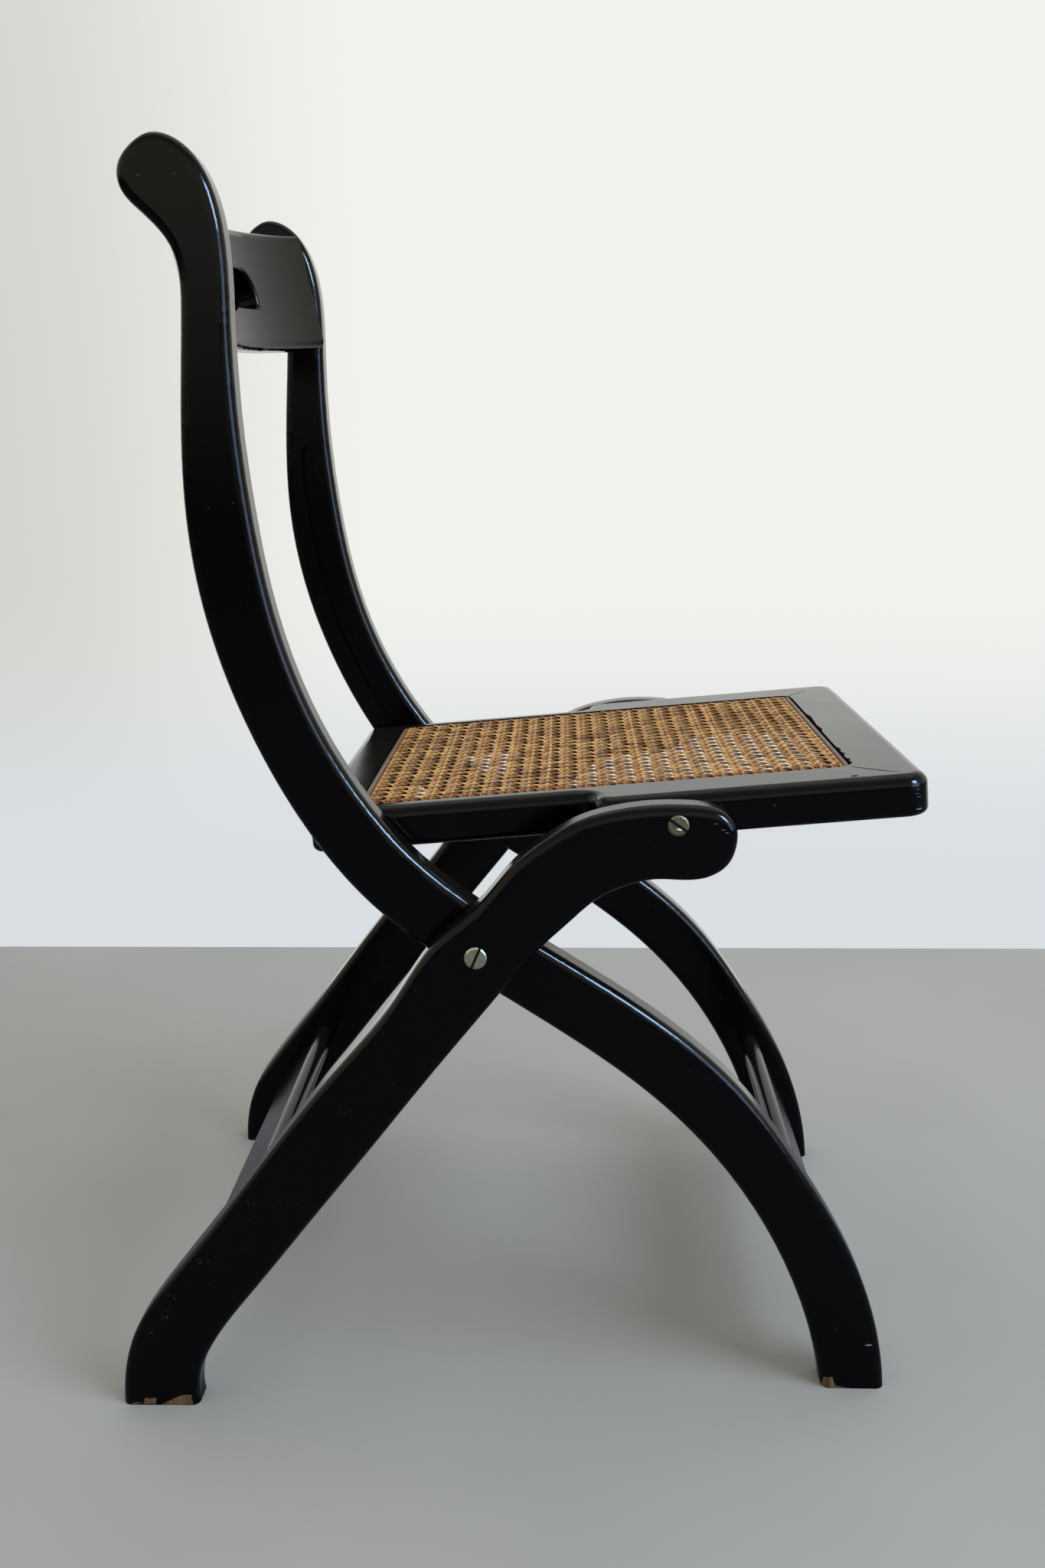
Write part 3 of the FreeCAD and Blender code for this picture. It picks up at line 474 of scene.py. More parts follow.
# slotFloor and slotRim are how far from the middle plane a screw's slot starts and ends; painted
# shade blackens the metal below the rim. A painted glint is a white spot's centre and radii,
# standing in for a reflection.
metals = {
    "nickel": {
        "colour": (0.46, 0.49, 0.34, 1),
        "stain": (0.33, 0.35, 0.23, 1),
        "rough": (0.20, 0.30),
        "slotFloor": 0.2081,
        "slotRim": 0.2089,
    },
    "agedBrass": {
        "colour": (0.22, 0.185, 0.11, 1),
        "stain": (0.085, 0.062, 0.034, 1),
        "rough": (0.30, 0.5),
        "slotFloor": 0.2076,
        "slotRim": 0.2085,
        # painted glint: a white spot that stands in for a reflection
        "paintedGlint": ((0.1044, -0.2087, 0.3966), (0.0026, 0.002, 0.0007)),
    },
    "brass": {
        "colour": (0.62, 0.44, 0.18, 1),
        "stain": (0.25, 0.16, 0.07, 1),
        "rough": (0.28, 0.5),
    },
}
metalWear = {
    "oneWay": {"Turn": (0.0, 0.6, 0.0), "Scale": 900.0, "Width": 0.03, "Cover": 0.6},
    "otherWay": {"Turn": (0.0, 2.0, 0.0), "Scale": 700.0, "Width": 0.02, "Cover": 0.6},
    "paintedGlintEdge": {"Ragged": 0.8, "Grain": 900.0},
    "paintedGlintColour": (0.95, 0.97, 1.0, 1),
    "slotShadeColour": (0.004, 0.0035, 0.003, 1),
    "depth": 0.00002,
}


# Worn metal: a clean and a stained colour mixed by noise, with fine scratches both ways.
# Below a screw's rim, in its slot and round its head, painted shade makes it black and dull.
def makeMetal(name):
    values = metals[name]
    material, tree, shader = startMaterial(name)
    where = pieceVector(tree)
    stain = spread(tree, noiseAt(tree, where, 240.0, 5.0, 0.65), 0.42, 0.72)
    fine = largest(tree, [useGroup(tree, scratchGroup, Vector=where, **metalWear[way])["Mask"]
                          for way in ("oneWay", "otherWay")])
    colour = blendColours(tree, stain, values["colour"], values["stain"])
    rough = spread(tree, stain, 0.0, 1.0, values["rough"][0], values["rough"][1])
    rough = plus(tree, rough, fine, 0.15)
    metallic = 1.0
    # Painted glint: a white spot that is not metal stands in for a reflection.
    if "paintedGlint" in values:
        mask = spotsAt(tree, where, [values["paintedGlint"]], metalWear["paintedGlintEdge"])
        colour = blendColours(tree, mask, colour, metalWear["paintedGlintColour"])
        metallic = calc(tree, "SUBTRACT", metallic, mask)
    # Painted shade: deeper than the slot's rim, the metal turns black and dull.
    if "slotFloor" in values:
        apart = addNode(tree, "ShaderNodeSeparateXYZ")
        feed(tree, apart.inputs[0], where)
        outward = calc(tree, "ABSOLUTE", apart.outputs[1])
        slotShade = spread(tree, outward, values["slotFloor"], values["slotRim"], 1.0, 0.0)
        colour = blendColours(tree, slotShade, colour, metalWear["slotShadeColour"])
        rough = calc(tree, "MAXIMUM", rough, scaled(tree, slotShade, 0.9))
        metallic = calc(tree, "MULTIPLY", metallic, calc(tree, "SUBTRACT", 1.0, slotShade))
    feed(tree, shader.inputs["Base Color"], colour)
    feed(tree, shader.inputs["Metallic"], metallic)
    feed(tree, shader.inputs["Roughness"], rough)
    addRelief(tree, shader, calc(tree, "SUBTRACT", stain, fine), metalWear["depth"])
    return material


# Unlacquered beech: the grain group's colour and relief.
def makeBareBeech():
    material, tree, shader = startMaterial("bareBeech")
    grain = useGroup(tree, grainGroup, Vector=pieceVector(tree), Light=(0.56, 0.36, 0.20, 1),
                     Dark=(0.36, 0.20, 0.10, 1), Scale=150.0)
    feed(tree, shader.inputs["Base Color"], grain["Colour"])
    feed(tree, shader.inputs["Roughness"], spread(tree, grain["Height"], 0.0, 1.0, 0.72, 0.55))
    addRelief(tree, shader, grain["Height"], 0.0001)
    return material


finishes = {
    "stileLacquer": makeLacquer("stileLacquer", chips=frontFootChips, nicks=stileNicks),
    "legLacquer": makeLacquer("legLacquer", chips=rearFootChips, scuffs=legScuffs, nicks=legNicks),
    "seatLacquer": makeLacquer("seatLacquer", scuffs=seatScuffs, cracks=seatCracks,
                               nicks=seatNicks, onSeat=True),
    "plainLacquer": makeLacquer("plainLacquer"),
    "nickel": makeMetal("nickel"),
    "agedBrass": makeMetal("agedBrass"),
    "brass": makeMetal("brass"),
    "bareBeech": makeBareBeech(),
}

wears = {
    "stileLacquer": ["back_stile_right", "back_stile_left"],
    "legLacquer": ["rear_leg_right", "rear_leg_left"],
    "seatLacquer": ["seat_front_rail", "seat_rear_rail", "seat_side_rail_right",
                    "seat_side_rail_left"],
    "plainLacquer": ["crest_rail", "front_stretcher", "rear_stretcher"],
    "nickel": ["pivot_screw_right", "pivot_screw_left"],
    "agedBrass": ["seat_screw_right", "seat_screw_left"],
    "brass": ["pivot_nut_right", "pivot_nut_left", "pivot_washer_right", "pivot_washer_left",
              "seat_sleeve_right", "seat_sleeve_left", "seat_washer_right", "seat_washer_left",
              "slide_pin_right", "slide_pin_left"],
    "bareBeech": ["seat_corner_dowel_right", "seat_corner_dowel_left"],
}
for finish, names in wears.items():
    for name in names:
        nodes[name].data.materials.clear()
        nodes[name].data.materials.append(finishes[finish])
print("finishes given to the CAD nodes")


seatPlace = (Matrix.Translation(seatFrame["pivot"])
             @ Matrix.Rotation(-math.radians(seatFrame["rake"]), 4, "Y"))


# Points of the seat's own frame, in the chair's.
def fromSeat(points):
    return points.reshape(-1, 3) @ np.array(seatPlace.to_3x3()).T + np.array(seatPlace.translation)


cane = {
    "pitch": 0.0127,
    "rear": -0.1992,  # inner edge of the reed's groove, in the seat's frame
    "front": 0.1127,
    "half": 0.1375,
    "middleHeight": 0.0131,
    "pairHalf": 0.00162,  # from the middle of a pair to each strand
    "width": 0.0029,
    "diagonalWidth": 0.0030,
    "thickness": 0.0008,
    "lift": 0.0003,
    "diagonalLift": 0.0006,
    "sag": 0.0022,
    "dip": 0.0011,  # how far the ends go down into the groove
    "dipLength": 0.0035,
    "stepsPerPitch": 12,
    "wander": 0.00034,
    "columnsEachSide": 12,
    "rowsEachSide": 11,
    "hollowPower": 2.6,  # how flat the seat's hollow is in its middle
    "crossReach": 1.35,  # how far a crossing's rise and fall reach, in half pairs
    "crossShare": 1.6,
    "widthChange": 0.06,
    # a strand's outline, as shares of its width and its thickness
    "profile": [(-0.5, -0.10), (-0.29, 0.36), (0.0, 0.5), (0.29, 0.36), (0.5, -0.10), (0.0, -0.46)],
    "profileAcross": [0, 0.25, 0.5, 0.75, 1.0, 0.5],
}


# Smooth random lines: for each strand a few sine waves of random phase, summed.
def wavering(seed, count, steps, waves):
    random = np.random.default_rng(seed)
    along = np.linspace(0, 1, steps)
    total = np.zeros((count, steps))
    for wave in range(1, waves + 1):
        phase = random.uniform(0, 2 * np.pi, (count, 1))
        size = random.normal(0, 1.0 / wave, (count, 1))
        total += size * np.sin(2 * np.pi * wave * along[None, :] + phase)
    return total / waves ** 0.5


# The seat's hollow, deepest in the middle, and the dip of the ends into the groove.
def settle(x, y):
    middle = (cane["rear"] + cane["front"]) / 2
    halfLength = (cane["front"] - cane["rear"]) / 2
    shareX = np.clip(np.abs(x - middle) / halfLength, 0, 1)
    shareY = np.clip(np.abs(y) / cane["half"], 0, 1)
    power = cane["hollowPower"]
    hollow = cane["sag"] * (1 - shareX ** power) * (1 - shareY ** power)
    edge = np.minimum(halfLength - np.abs(x - middle), cane["half"] - np.abs(y))
    share = np.clip(1 - edge / cane["dipLength"], 0, 1)
    return -hollow - cane["dip"] * share ** 2, edge


# Ribbons along rows of points: a half-lens profile, domed above and nearly flat below,
# stands across each row's own direction. Segments that aren't kept are left out.
def ribbons(name, x, y, z, keep, width, seed, material):
    count, steps = x.shape
    fall, edge = settle(x, y)
    z = z + fall + cane["middleHeight"]
    towardX = np.gradient(x, axis=1)
    towardY = np.gradient(y, axis=1)
    size = np.maximum(np.hypot(towardX, towardY), 1e-9)
    acrossX, acrossY = -towardY / size, towardX / size
    profile = np.array(cane["profile"])
    random = np.random.default_rng(seed)
    widths = width * (1 + cane["widthChange"] * random.normal(size=(count, 1)))
    side = profile[:, 0][None, None, :] * widths[:, :, None]
    points = np.empty((count, steps, len(profile), 3))
    points[..., 0] = x[:, :, None] + acrossX[:, :, None] * side
    points[..., 1] = y[:, :, None] + acrossY[:, :, None] * side
    points[..., 2] = z[:, :, None] + profile[:, 1][None, None, :] * cane["thickness"]
    index = np.arange(count * steps * len(profile)).reshape(count, steps, len(profile))
    nextOne = np.roll(index, -1, axis=2)
    faces = np.stack([index[:, :-1], index[:, 1:], nextOne[:, 1:], nextOne[:, :-1]], axis=-1)
    faces = faces[keep].reshape(-1, 4)
    strand = np.flatnonzero(keep.any(axis=1))
    first = index[strand, np.argmax(keep[strand], axis=1)]
    last = index[strand, steps - 1 - np.argmax(keep[strand][:, ::-1], axis=1)]
    faces = np.concatenate([faces, first[:, [0, 1, 2, 5]], first[:, [5, 2, 3, 4]],
                            last[:, [5, 2, 1, 0]], last[:, [4, 3, 2, 5]]])
    used, faces = np.unique(faces, return_inverse=True)
    faces = faces.reshape(-1, 4)
    tone = np.repeat(random.uniform(0, 1, count), steps * len(profile))[used]
    length = np.cumsum(np.pad(size[:, 1:], ((0, 0), (1, 0))), axis=1)
    length = length + random.uniform(0, 9, (count, 1))
    alongAll = np.repeat(length.reshape(-1), len(profile))[used]
    acrossAll = np.tile(np.array(cane["profileAcross"]), count * steps)[used]
    edgeAll = np.repeat(edge.reshape(-1), len(profile))[used]
    corners = fromSeat(points.reshape(-1, 3)[used])
    mesh = bpy.data.meshes.new(name)
    mesh.vertices.add(len(corners))
    mesh.vertices.foreach_set("co", corners.astype(np.float32).ravel())
    mesh.loops.add(faces.size)
    mesh.loops.foreach_set("vertex_index", faces.astype(np.int32).ravel())
    mesh.polygons.add(len(faces))
    mesh.polygons.foreach_set("loop_start", np.arange(0, faces.size, 4, dtype=np.int32))
    mesh.update(calc_edges=True)
    for label, values in (("strandTone", tone), ("edgeGap", edgeAll)):
        attribute = mesh.attributes.new(label, "FLOAT", "POINT")
        attribute.data.foreach_set("value", values.astype(np.float32))
    uv = mesh.uv_layers.new(name="strandMap")
    pairs = np.stack([alongAll, acrossAll], axis=1)[faces.ravel()]
    uv.data.foreach_set("uv", pairs.astype(np.float32).ravel())
    mesh.polygons.foreach_set("use_smooth", np.ones(len(faces), dtype=bool))
    mesh.materials.append(material)
    mesh.validate()
    piece = bpy.data.objects.new(name, mesh)
    bpy.context.scene.collection.objects.link(piece)
    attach(piece, "seat")
    print("%s: %d faces" % (name, len(faces)))
    return piece


caneLook = {
    "light": (0.74, 0.415, 0.145, 1),
    "middle": (0.42, 0.20, 0.064, 1),
    "dark": (0.085, 0.032, 0.011, 1),
    "paintedSideShade": (0.035, 0.014, 0.006, 1),
    "edgeColour": (0.37, 0.135, 0.04, 1),
    "rough": (0.30, 0.55),
    "ior": 1.2,
    "streakDepth": 0.00008,
}


# Cane: each strand has its own tone, streaks run along it, stains darken it, painted shade darkens
# its sides where strands meet, and the last few millimetres before the groove are rubbed orange
# brown.
def makeCaneMaterial():
    material, tree, shader = startMaterial("wovenCane")
    uv = addNode(tree, "ShaderNodeUVMap", uv_map="strandMap").outputs["UV"]
    tone = addNode(tree, "ShaderNodeAttribute", attribute_name="strandTone").outputs["Fac"]
    edge = addNode(tree, "ShaderNodeAttribute", attribute_name="edgeGap").outputs["Fac"]
    streaks = noiseAt(tree, calcVector(tree, "MULTIPLY", uv, (60.0, 5.0, 1.0)), 1.0, 4.0, 0.65)
    blotches = noiseAt(tree, pieceVector(tree), 34.0, 3.0, 0.6)
    mixed = plus(tree, plus(tree, scaled(tree, tone, 0.6), streaks, 0.75), blotches, 0.3)
    colour = blendColours(tree, spread(tree, mixed, 0.55, 0.95),
                          caneLook["light"], caneLook["middle"])
    colour = blendColours(tree, spread(tree, mixed, 0.86, 1.2), colour, caneLook["dark"])
    shaken = plus(tree, edge, calc(tree, "SUBTRACT", blotches, 0.5), 0.01)
    worn = spread(tree, shaken, 0.002, 0.008, 0.85, 0.0)
    place = addNode(tree, "ShaderNodeSeparateXYZ")
    feed(tree, place.inputs[0], pieceVector(tree))
    worn = calc(tree, "MULTIPLY", worn, spread(tree, place.outputs[1], -0.128, -0.10, 1.0, 0.25))
    colour = blendColours(tree, worn, colour, caneLook["edgeColour"])
    # Painted shade: each strand darkens towards its sides, where it meets its neighbours.
    apart = addNode(tree, "ShaderNodeSeparateXYZ")
    feed(tree, apart.inputs[0], uv)
    fromMiddle = calc(tree, "ABSOLUTE", calc(tree, "SUBTRACT", apart.outputs[1], 0.5))
    colour = blendColours(tree, spread(tree, fromMiddle, 0.18, 0.48, 0.0, 0.9),
                          colour, caneLook["paintedSideShade"])
    feed(tree, shader.inputs["Base Color"], colour)
    shader.inputs["IOR"].default_value = caneLook["ior"]
    feed(tree, shader.inputs["Roughness"],
         spread(tree, streaks, 0.3, 0.7, caneLook["rough"][0], caneLook["rough"][1]))
    addRelief(tree, shader, streaks, caneLook["streakDepth"], 0.6)
    return material


# Pairs run both ways and pass over and under each other where they cross; single strands
# run diagonally and cross on the pairs, half way between those places.
def weaveCane():
    material = makeCaneMaterial()
    pitch, half = cane["pitch"], cane["half"]
    rear, front = cane["rear"], cane["front"]
    middle = (rear + front) / 2
    columns = np.arange(-cane["columnsEachSide"], cane["columnsEachSide"] + 1) * pitch + middle
    rows = (np.arange(-cane["rowsEachSide"], cane["rowsEachSide"]) + 0.5) * pitch
    pairOf = np.array([-1, 1]) * cane["pairHalf"]
    pieces = []

    # +1 over the first strand of the pair that it meets, -1 over the second, 0 far from both.
    def crossing(away, first):
        near = np.exp(-((away / (cane["crossReach"] * cane["pairHalf"])) ** 2))
        turn = np.clip(away / cane["pairHalf"], -2, 2) * np.pi / 2
        return first * np.sin(turn) * near * cane["crossShare"]

    # across: strands along Y at each column
    steps = int(round(2 * half / pitch * cane["stepsPerPitch"])) + 1
    run = np.linspace(-half, half, steps)
    x = (columns[:, None] + pairOf[None, :]).reshape(-1, 1) + np.zeros((1, steps))
    hand = np.tile([1.0, -1.0], len(columns))[:, None]
    away = (run[None, :] - rows[0] + pitch / 2) % pitch - pitch / 2
    z = cane["lift"] * crossing(away, hand)
    x = x + cane["wander"] * wavering(3, len(x), steps, 4)
    y = np.broadcast_to(run, x.shape)
    keep = np.ones((len(x), steps - 1), dtype=bool)
    pieces.append(ribbons("cane_strands_across", x, y, z, keep, cane["width"], 5, material))

    # along: strands along X at each row
    steps = int(round((front - rear) / pitch * cane["stepsPerPitch"])) + 1
    run = np.linspace(rear, front, steps)
    y = (rows[:, None] + pairOf[None, :]).reshape(-1, 1) + np.zeros((1, steps))
    hand = np.tile([-1.0, 1.0], len(rows))[:, None]
    away = (run[None, :] - columns[0] + pitch / 2) % pitch - pitch / 2
    z = cane["lift"] * crossing(away, hand)
    y = y + cane["wander"] * wavering(7, len(y), steps, 4)
    x = np.broadcast_to(run, y.shape)
    keep = np.ones((len(y), steps - 1), dtype=bool)
    pieces.append(ribbons("cane_strands_along", x, y, z, keep, cane["width"], 9, material))

    # diagonals: x + y or x - y is constant, half a pitch off the columns and rows
    reach = (front - rear) / 2 + half
    count = int(reach / pitch) + 1
    offsets = (np.arange(-count, count)) * pitch + middle
    steps = int(round((front - rear) / pitch * cane["stepsPerPitch"])) + 1
    run = np.linspace(rear, front, steps)
    for name, lean, seed in (("cane_strands_rising", 1.0, 11), ("cane_strands_falling", -1.0, 12)):
        x = np.broadcast_to(run, (len(offsets), steps))
        y = lean * (x - offsets[:, None])
        z = lean * cane["diagonalLift"] * np.cos(2 * np.pi * (x - middle) / pitch)
        inside = np.abs(y) <= half
        keep = inside[:, :-1] & inside[:, 1:]
        shake = cane["wander"] * wavering(seed, len(x), steps, 5)
        x = np.clip(x + shake, rear, front)
        y = np.clip(y + shake, -half, half)
        pieces.append(ribbons(name, x, y, z, keep, cane["diagonalWidth"], seed + 2, material))
    return pieces


canePieces = weaveCane()
for piece in canePieces:
    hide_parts("cane_panel")
print("cane woven")


reed = {
    "rear": -0.2037,
    "front": 0.1172,
    "half": 0.142,
    "width": 0.0030,
    "outerGap": 0.0011,  # the dark gap left between the groove's outer wall and the reed
    "rearCorner": 0.016,
    "frontCorner": 0.009,
    "woodTop": 0.0135,
    "foot": 0.0072,
    "riseRear": 0.0005,
    "riseFront": -0.0001,
    "riseSides": -0.0009,
    "crown": 0.0009,
    "arcSteps": 9,
    "sideStep": 0.004,
    "fibreDepth": 0.00015,
    "light": (0.17, 0.080, 0.042, 1),
    "dark": (0.055, 0.024, 0.013, 1),
}


# A closed path round a rectangle with two sizes of corner, as points and outward ways.
def roundedPath(rear, front, half, rearCorner, frontCorner, arcSteps, sideStep):
    corners = [(front - frontCorner, half - frontCorner, frontCorner, 0.0),
               (rear + rearCorner, half - rearCorner, rearCorner, 0.5 * math.pi),
               (rear + rearCorner, -half + rearCorner, rearCorner, math.pi),
               (front - frontCorner, -half + frontCorner, frontCorner, 1.5 * math.pi)]
    points, ways = [], []
    for cx, cy, radius, turn in corners:
        angle = turn + np.linspace(0, 0.5 * math.pi, arcSteps)
        points.append(np.stack([cx + radius * np.cos(angle), cy + radius * np.sin(angle)], axis=1))
        ways.append(np.stack([np.cos(angle), np.sin(angle)], axis=1))
    allPoints, allWays = [], []
    for place in range(4):
        here, there = points[place], points[(place + 1) % 4]
        allPoints.append(here)
        allWays.append(ways[place])
        gap = there[0] - here[-1]
        count = max(2, int(np.hypot(*gap) / sideStep))
        share = np.linspace(0, 1, count + 1)[1:-1, None]
        allPoints.append(here[-1] + share * gap)
        allWays.append(np.repeat(ways[place][-1:], count - 1, axis=0))
    return np.concatenate(allPoints), np.concatenate(allWays)


# Reed: brown fibres along the strip, rubbed lighter in patches.
def makeReedMaterial():
    material, tree, shader = startMaterial("brownReed")
    uv = addNode(tree, "ShaderNodeUVMap", uv_map="strandMap").outputs["UV"]
    fibres = noiseAt(tree, calcVector(tree, "MULTIPLY", uv, (25.0, 14.0, 1.0)), 1.0, 5.0, 0.7)
    patches = noiseAt(tree, pieceVector(tree), 60.0, 3.0)
    share = plus(tree, scaled(tree, fibres, 0.7), patches, 0.45)
    colour = blendColours(tree, spread(tree, share, 0.42, 0.75), reed["light"], reed["dark"])
    feed(tree, shader.inputs["Base Color"], colour)
    feed(tree, shader.inputs["Roughness"], spread(tree, fibres, 0.3, 0.7, 0.34, 0.6))
    addRelief(tree, shader, fibres, reed["fibreDepth"])
    return material


# A half-round strip carried round the groove's middle; its height differs by side.
def makeReed():
    inset = reed["width"] / 2 + reed["outerGap"]
    path, ways = roundedPath(reed["rear"] + inset, reed["front"] - inset, reed["half"] - inset,
                             reed["rearCorner"] - inset, reed["frontCorner"] - inset,
                             reed["arcSteps"], reed["sideStep"])
    turn = np.linspace(0, math.pi, reed["arcSteps"])
    side = np.concatenate([np.cos(turn), [-1.0, 1.0]]) * reed["width"] / 2
    lift = np.concatenate([np.sin(turn) * reed["crown"] - reed["crown"], [0.0, 0.0]])
    low = np.concatenate([np.zeros(reed["arcSteps"]), [1.0, 1.0]])
    across = np.abs(ways[:, 1]) ** 2
    ends = np.where(ways[:, 0] > 0, reed["riseFront"], reed["riseRear"])
    top = reed["woodTop"] + across * reed["riseSides"] + (1 - across) * ends
    count = len(path)
    points = np.empty((count, len(side), 3))
    points[..., 0] = path[:, 0:1] + ways[:, 0:1] * side
    points[..., 1] = path[:, 1:2] + ways[:, 1:2] * side
    points[..., 2] = np.where(low > 0, reed["foot"], top[:, None] + lift)
    index = np.arange(count * len(side)).reshape(count, len(side))
    after = np.roll(index, -1, axis=0)
    beside, besideAfter = np.roll(index, -1, axis=1), np.roll(after, -1, axis=1)
    faces = np.stack([index, after, besideAfter, beside], axis=-1).reshape(-1, 4)
    mesh = bpy.data.meshes.new("reed_strip")
    mesh.from_pydata(fromSeat(points).tolist(), [], faces.tolist())
    length = np.concatenate([[0], np.cumsum(np.hypot(*np.diff(path, axis=0).T))])
    uv = mesh.uv_layers.new(name="strandMap")
    around = np.tile(np.linspace(0, 1, len(side)), count)
    pairs = np.stack([np.repeat(length, len(side)), around], axis=1)
    uv.data.foreach_set("uv", pairs[faces.ravel()].astype(np.float32).ravel())
    mesh.polygons.foreach_set("use_smooth", np.ones(len(faces), dtype=bool))
    mesh.materials.append(makeReedMaterial())
    piece = bpy.data.objects.new("reed_strip", mesh)
    bpy.context.scene.collection.objects.link(piece)
    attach(piece, "seat")
    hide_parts("cane_reed")
    print("reed_strip: %d faces" % len(faces))


makeReed()


# Open joints, a dent, and painted shade along the reed's outer side, widest where the lacquer
# there is broken: paths of points (x, y) in the seat's own frame, with the widths along them.
markLook = {
    "top": 0.01355,
    "depth": 0.0003,
    "step": 0.0004,
    "fewestSteps": 12,
    "light": (0.016, 0.012, 0.010, 1),
    "dark": (0.004, 0.003, 0.003, 1),
    "ior": 1.05,
    "ragged": {"mitreRight": 0.3, "mitreLeft": 0.3, "dent": 0.3, "reedFrontShade": 0.5,
               "breakNearShade": 0.6, "breakMiddleShade": 0.6, "breakFarShade": 0.6},
    "firstSeed": 21,
}
darkMarks = {
    "mitreRight": [(0.1157, -0.1435, 0.0005), (0.1219, -0.1502, 0.0010), (0.1309, -0.1607, 0.0011),
                   (0.1369, -0.1664, 0.0008), (0.1425, -0.1694, 0.0001)],
    "mitreLeft": [(0.1160, 0.1405, 0.0003), (0.1215, 0.1450, 0.0008), (0.1280, 0.1510, 0.0008),
                  (0.1340, 0.1570, 0.0001)],
    "dent": [(0.1103, -0.1719, 0.0004), (0.1121, -0.1712, 0.0024), (0.1138, -0.1704, 0.0026),
             (0.1153, -0.1695, 0.0005)],
    # painted shade: a black line over the gap at the reed's outer side, wider where the lacquer is
    # broken
    "reedFrontShade": [(0.1173, -0.1360, 0.0003), (0.1173, -0.0800, 0.0003), (0.1173, 0.0400, 0.0003),
                  (0.1173, 0.1250, 0.0003)],
    "breakNearShade": [(0.1176, -0.1345, 0.0002), (0.1181, -0.1301, 0.0010), (0.1178, -0.1240, 0.0004),
                  (0.1186, -0.1207, 0.0017), (0.1177, -0.1170, 0.0003)],
    "breakMiddleShade": [(0.1175, -0.1075, 0.0002), (0.1185, -0.1028, 0.0013), (0.1175, -0.0960, 0.0003),
                    (0.1182, -0.0850, 0.0010), (0.1175, -0.0790, 0.0003)],
    "breakFarShade": [(0.1175, -0.0200, 0.0003), (0.1182, -0.0120, 0.0012), (0.1175, 0.0050, 0.0004),
                 (0.1184, 0.0400, 0.0012), (0.1175, 0.0520, 0.0003)],
}


# A thin bar along a smooth path: each side lies half a width off it, shaken at random, and
# its underside is sunk in the wood.
def barAlong(marks, seed, ragged):
    marks = np.array(marks)
    gone = np.concatenate([[0], np.cumsum(np.hypot(*np.diff(marks[:, :2], axis=0).T))])
    steps = max(markLook["fewestSteps"], int(gone[-1] / markLook["step"]))
    at = np.linspace(0, gone[-1], steps)
    x, y, width = (np.interp(at, gone, marks[:, column]) for column in range(3))
    towardX, towardY = np.gradient(x), np.gradient(y)
    size = np.hypot(towardX, towardY)
    random = np.random.default_rng(seed)
    reach = 0.5 * width * (1 + ragged * np.abs(random.normal(size=(2, steps))))
    points = np.empty((steps, 4, 3))
    for place, (side, level) in enumerate(((-1, 0), (1, 0), (1, 1), (-1, 1))):
        off = side * reach[max(side, 0)]
        points[:, place, 0] = x - towardY / size * off
        points[:, place, 1] = y + towardX / size * off
        points[:, place, 2] = markLook["top"] - level * markLook["depth"]
    index = np.arange(steps * 4).reshape(steps, 4)
    nextOne = np.roll(index, -1, axis=1)
    faces = np.stack([index[:-1], index[1:], nextOne[1:], nextOne[:-1]], axis=-1).reshape(-1, 4)
    faces = np.concatenate([faces, index[:1], index[-1:, ::-1]])
    return points.reshape(-1, 3), faces


# A near-black matte sheet: dark open joints, a dent, and painted shade along the reed's outer side.
def makeDarkMarks():
    material, tree, shader = startMaterial("openJointAndPaintedShade")
    grit = noiseAt(tree, pieceVector(tree), 900.0, 3.0)
    feed(tree, shader.inputs["Base Color"],
         blendColours(tree, grit, markLook["dark"], markLook["light"]))
    feed(tree, shader.inputs["Roughness"], spread(tree, grit, 0.3, 0.7, 0.9, 1.0))
    shader.inputs["IOR"].default_value = markLook["ior"]
    corners, faces, count = [], [], 0
    for number, (name, path) in enumerate(darkMarks.items()):
        points, quads = barAlong(path, markLook["firstSeed"] + number, markLook["ragged"][name])
        corners.append(points)
        faces.append(quads + count)
        count += len(points)
    mesh = bpy.data.meshes.new("seat_open_joints_and_painted_shade")
    corners = fromSeat(np.concatenate(corners))
    mesh.from_pydata(corners.tolist(), [], np.concatenate(faces).tolist())
    mesh.materials.append(material)
    piece = bpy.data.objects.new("seat_open_joints_and_painted_shade", mesh)
    bpy.context.scene.collection.objects.link(piece)
    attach(piece, "seat")
    print("seat_open_joints_and_painted_shade: %d faces" % len(mesh.polygons))


makeDarkMarks()


room = {
    "floorReach": 6.0,
    "wallPlace": 0.734,  # how far behind the chair the floor ends and the pale wall begins
    "floorColour": (0.43, 0.432, 0.438, 1),
    "wallBright": (0.885, 0.895, 0.855, 1),
    "wallShaded": (0.655, 0.66, 0.62, 1),
    "wallLow": (0.70, 0.735, 0.77, 1),
    "wallMirrored": (1.09, 1.10, 1.05, 1),
    "ceiling": (0.45, 0.45, 0.42, 1),
    "mirroredFloor": (0.24, 0.24, 0.29, 1),  # the floor as polished faces mirror it
    "floorShade": 0.94,  # its darker patches
    "floorRough": 0.8,
    "behindLow": (0.05, 0.05, 0.06, 1),
    "behindHigh": (1.12, 1.08, 0.90, 1),
}


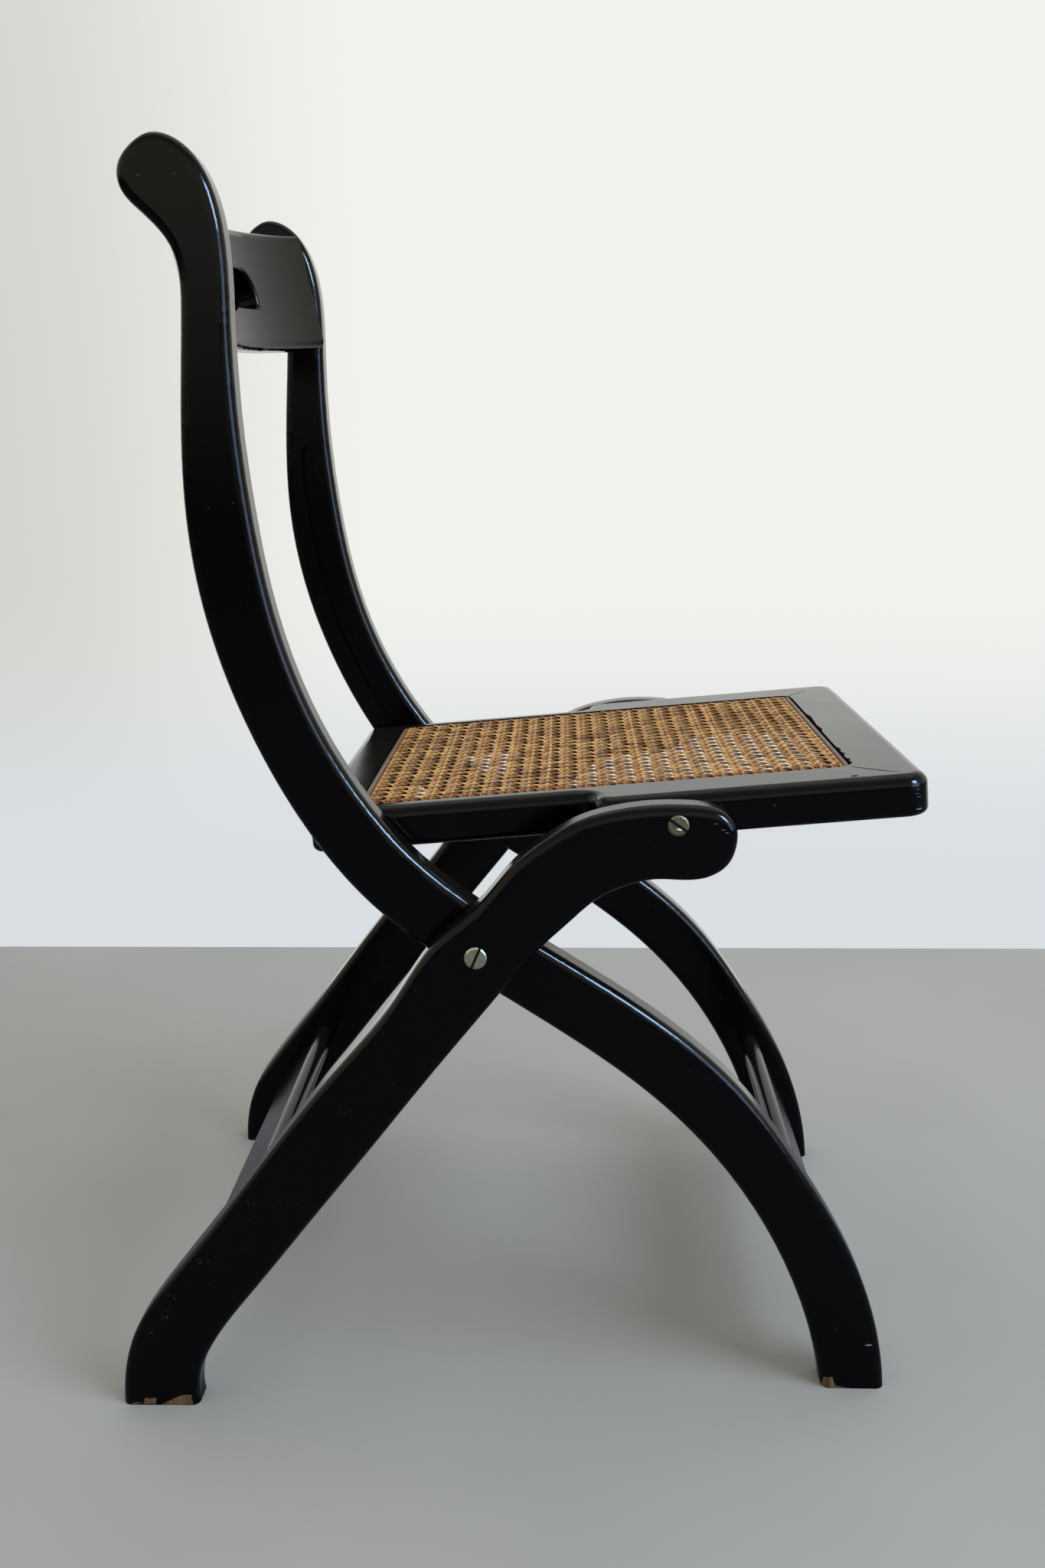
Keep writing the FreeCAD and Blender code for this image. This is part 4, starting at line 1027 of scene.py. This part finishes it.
# A plain pale floor, a sky that is bright behind the chair and dim behind the camera.
def makeRoom():
    mesh = bpy.data.meshes.new("floor")
    reach, back = room["floorReach"], room["wallPlace"]
    corners = [(-reach, -reach, 0), (reach, -reach, 0), (reach, back, 0), (-reach, back, 0)]
    mesh.from_pydata(corners, [], [(0, 1, 2, 3)])
    floor = bpy.data.objects.new("floor", mesh)
    bpy.context.scene.collection.objects.link(floor)
    material, tree, shader = startMaterial("paleFloor")
    tone = noiseAt(tree, pieceVector(tree), 3.0, 3.0)
    shaded = tuple(channel * room["floorShade"] for channel in room["floorColour"][:3]) + (1,)
    colour = blendColours(tree, spread(tree, tone, 0.3, 0.7), room["floorColour"], shaded)
    mirrored = addNode(tree, "ShaderNodeLightPath").outputs["Is Glossy Ray"]
    colour = blendColours(tree, mirrored, colour, room["mirroredFloor"])
    feed(tree, shader.inputs["Base Color"], colour)
    shader.inputs["Roughness"].default_value = room["floorRough"]
    shader.inputs["Specular IOR Level"].default_value = 0.0
    mesh.materials.append(material)

    world = bpy.data.worlds.new("paleRoom")
    bpy.context.scene.world = world
    bpy.context.scene.view_settings.view_transform = "Standard"
    world.use_nodes = True
    tree = world.node_tree
    tree.nodes.clear()
    way = addNode(tree, "ShaderNodeSeparateXYZ")
    feed(tree, way.inputs[0], addNode(tree, "ShaderNodeTexCoord").outputs["Generated"])
    rise = spread(tree, way.outputs[2], -0.06, 0.22)
    behind = blendColours(tree, rise, room["behindLow"], room["behindHigh"])
    depth = spread(tree, way.outputs[1], 0.30, 0.75)
    colour = blendColours(tree, depth, behind, room["wallMirrored"])
    colour = blendColours(tree, spread(tree, way.outputs[2], 0.34, 0.78), colour, room["ceiling"])
    # The camera sees a painted wall: painted shade darkens it to the left; it is darker, bluer low
    # down.
    wall = blendColours(tree, spread(tree, way.outputs[0], -0.37, -0.10),
                        room["wallShaded"], room["wallBright"])
    wall = blendColours(tree, spread(tree, way.outputs[2], -0.27, -0.07), room["wallLow"], wall)
    seen = addNode(tree, "ShaderNodeLightPath").outputs["Is Camera Ray"]
    colour = blendColours(tree, seen, colour, wall)
    background = addNode(tree, "ShaderNodeBackground")
    feed(tree, background.inputs["Color"], colour)
    out = addNode(tree, "ShaderNodeOutputWorld")
    feed(tree, out.inputs["Surface"], background.outputs[0])


# Soft rectangles of light. Two only gleam on polished faces and one only lights.
windows = {
    "windowLow": {
        "place": (2.05, -1.5, 0.85),
        "target": (0, 0, 0.45),
        "size": (1.4, 0.9),
        "power": 32,
        "colour": (0.41, 0.60, 1.0),
        "gleamOnly": True,
    },
    "windowSky": {
        "place": (2.05, -1.5, 1.95),
        "target": (0, 0, 0.6),
        "size": (0.8, 0.9),
        "power": 180,
        "colour": (0.42, 0.66, 1.0),
        "gleamOnly": True,
    },
    "windowSoft": {
        "place": (2.6, -1.5, 2.3),
        "target": (0, 0, 0.3),
        "size": (1.8, 1.8),
        "power": 66,
        "colour": (0.72, 0.86, 1.0),
        "lightOnly": True,
    },
    "softAbove": {
        "place": (0.2, 0.6, 2.6),
        "target": (0, 0, 0.4),
        "size": (2.4, 1.6),
        "power": 10,
        "colour": (1.0, 0.99, 0.96),
    },
}


def addWindow(name):
    values = windows[name]
    light = bpy.data.lights.new(name, "AREA")
    light.shape = "RECTANGLE"
    light.size, light.size_y = values["size"]
    light.energy = values["power"]
    light.color = values["colour"]
    lamp = bpy.data.objects.new(name, light)
    lamp.location = values["place"]
    towards = Vector(values["target"]) - Vector(values["place"])
    lamp.rotation_euler = towards.to_track_quat("-Z", "Y").to_euler()
    lamp.visible_camera = False
    lamp.visible_diffuse = not values.get("gleamOnly", False)
    lamp.visible_glossy = not values.get("lightOnly", False)
    bpy.context.scene.collection.objects.link(lamp)


makeRoom()
for name in windows:
    addWindow(name)
print("room lit")
